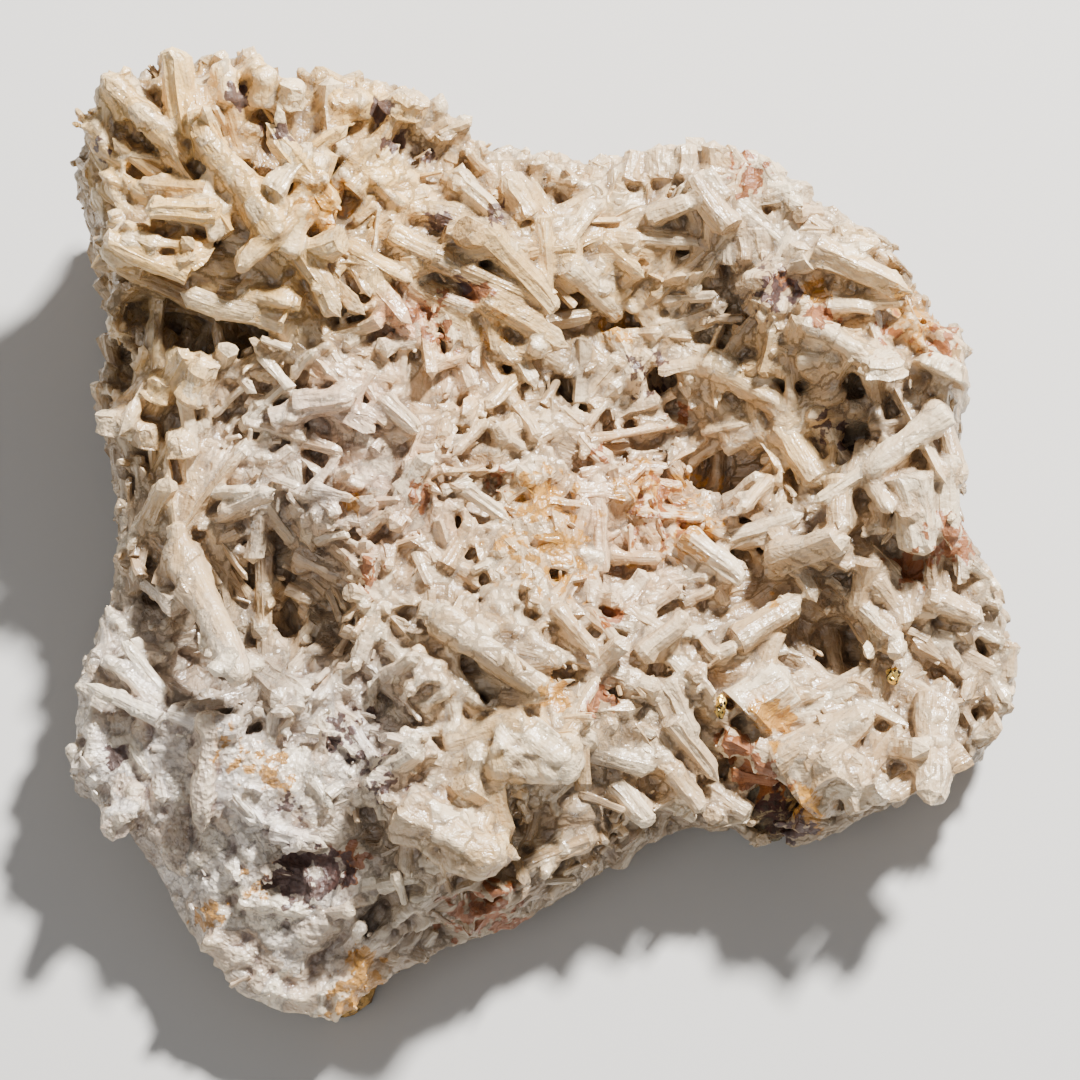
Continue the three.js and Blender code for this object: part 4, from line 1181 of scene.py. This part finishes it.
rock_form = merged_copy("gossan_matrix")
rock = remeshed(mesh_from(rock_form, "gossan_rock"), ROCK_VOXEL, 0)
rock_form.free()
places = corner_places(rock)
normals = corner_normals(rock)
above_cut = np.clip((places[:, 2] - CUT_LEVEL) / CUT_FADE, 0, 1)
broken = sum(depth * np.abs(lattice_noise(places, size, seed)) for size, depth, seed in ROCK_BREAKS)
open_side = np.clip(BREAKS_ON_WALL - np.clip(normals[:, 2], 0, 1), BREAKS_ON_TOP, 1)
move_corners(rock, places - normals * (MM * broken * above_cut * open_side)[:, None])
shade(rock, True)
mark_stains_and_depth_shade(rock)
rock = piece_from(rock, "gossan_rock")

# Limonite and goethite, broken and weathered: matt all over, powdery ochre, brown and grey-green by patches,
# with dark and pale grit.
rock_finish = bpy.data.materials.new("gossan_earthy")
rock_finish.use_nodes = True
tree = rock_finish.node_tree
shader = tree.nodes["Principled BSDF"]
place = add_node(tree, "ShaderNodeTexCoord").outputs["Object"]
patches, grit, powder = (
    add_node(tree, "ShaderNodeTexNoise", None, Vector=place, Scale=scale, Detail=detail).outputs["Fac"]
    for scale, detail in ((PATCH_SCALE, 5.0), (ROCK_GRIT_SCALE, 4.0), (POWDER_SCALE, 5.0))
)
stains = add_node(tree, "ShaderNodeAttribute", {"attribute_name": "stains"})
stain = add_node(tree, "ShaderNodeSeparateColor", None, Color=stains.outputs["Color"])
colour = laid_over(tree, hex_colour("#5F4B36"), "#8A6F4C", powder, 0.4, 0.6)
colour = laid_over(tree, colour, "#77715C", patches, 0.5, 0.42, 0.8)
colour = laid_over(tree, colour, "#B98D4E", patches, 0.55, 0.68, 0.8)
colour = stained_colour(tree, colour, stain, powder, 0.36, 0.62, "#D3A45C")
colour = laid_over(tree, colour, "#3A2E22", grit, 0.52, 0.66, 0.75)
colour = laid_over(tree, colour, "#E0C48E", grit, 0.45, 0.34, 0.4)
tree.links.new(colour, shader.inputs["Base Color"])
shader.inputs["Roughness"].default_value = 0.9
skin = add_node(tree, "ShaderNodeBump", None, Height=grit, Strength=0.9, Distance=0.8 * MM)
tree.links.new(skin.outputs["Normal"], shader.inputs["Normal"])
rock.data.materials.append(rock_finish)
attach(rock, "root")
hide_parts("gossan_matrix")


# The sulphide grains: two small brassy metallic grains held between the crystals, bright where they are
# fresh and nearly black where they have tarnished.

# The facets are steps: how high the highest stands, how many there are up to it, and how wide they are.
FACET_STEP = 0.3 * MM
FACET_COUNT = 2.5
FACET_PATCH = 0.55 * MM
GRAIN_CUTS = 4
GRAIN_RAISED = 0.5 * MM
# How many spots of tarnish go to a metre.
TARNISH_SCALE = 1300.0

# Pyrite or chalcopyrite as it grew: a metal's gloss, with dull black films.
grain_finish = bpy.data.materials.new("sulphide_brassy")
grain_finish.use_nodes = True
tree = grain_finish.node_tree
shader = tree.nodes["Principled BSDF"]
place = add_node(tree, "ShaderNodeTexCoord").outputs["Object"]
tarnish = add_node(tree, "ShaderNodeTexNoise", None, Vector=place, Scale=TARNISH_SCALE, Detail=3.0)
colour = laid_over(tree, hex_colour("#D9B765"), "#1E1712", tarnish.outputs["Fac"], 0.5, 0.58)
tree.links.new(colour, shader.inputs["Base Color"])
shader.inputs["Metallic"].default_value = 0.9
shader.inputs["Roughness"].default_value = 0.32
for node in ("sulphide_grain_upright", "sulphide_grain_right"):
    grain_shape = merged_copy(node)
    bmesh.ops.subdivide_edges(grain_shape, edges=grain_shape.edges, cuts=GRAIN_CUTS, use_grid_fill=True)
    bmesh.ops.triangulate(grain_shape, faces=grain_shape.faces)
    grain_mesh = mesh_from(grain_shape, node + "_detail")
    grain_shape.free()
    places = corner_places(grain_mesh)
    steps = FACET_STEP * np.round(FACET_COUNT * lattice_noise(places, FACET_PATCH, 41)) / FACET_COUNT
    raised = places + corner_normals(grain_mesh) * steps[:, None] + np.array(towards_eye) * GRAIN_RAISED
    move_corners(grain_mesh, raised)
    shade(grain_mesh, False)
    grain_mesh.materials.append(grain_finish)
    grain_piece = piece_from(grain_mesh, node + "_detail")
    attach(grain_piece, "root")
    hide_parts(node)


# The floor and the light. A plain pale floor, one small key light from the upper right, as the sun stands
# in the photograph, a wide weak fill from the lower left, and a weak sky.

FLOOR_HALF = 3

floor_shape = bmesh.new()
bmesh.ops.create_grid(floor_shape, x_segments=1, y_segments=1, size=FLOOR_HALF)
floor = piece_from(mesh_from(floor_shape, "floor"), "floor")
floor_shape.free()
floor_paint = bpy.data.materials.new("floor_paint")
floor_paint.use_nodes = True
floor_shader = floor_paint.node_tree.nodes["Principled BSDF"]
floor_shader.inputs["Base Color"].default_value = hex_colour("#C9C6C1")
floor_shader.inputs["Roughness"].default_value = 0.9
floor.data.materials.append(floor_paint)


def area_light(name, place, strength, side):
    """A square light over the specimen, aimed at its middle, with its strength in watts."""
    light = bpy.data.lights.new(name, "AREA")
    light.size = side
    light.energy = strength
    lamp = bpy.data.objects.new(name, light)
    lamp.location = Vector(place)
    lamp.rotation_euler = (picture_middle - lamp.location).to_track_quat("-Z", "Y").to_euler()
    bpy.context.scene.collection.objects.link(lamp)


area_light("key_light", (0.38, 0.55, 0.74), 44, 0.1)
area_light("fill_light", (-0.5, -0.6, 0.9), 3.2, 0.9)
world = bpy.data.worlds.new("sky")
world.use_nodes = True
world.node_tree.nodes["Background"].inputs["Color"].default_value = hex_colour("#E8EAF0")
world.node_tree.nodes["Background"].inputs["Strength"].default_value = 0.27
bpy.context.scene.world = world

crystal_form.free()
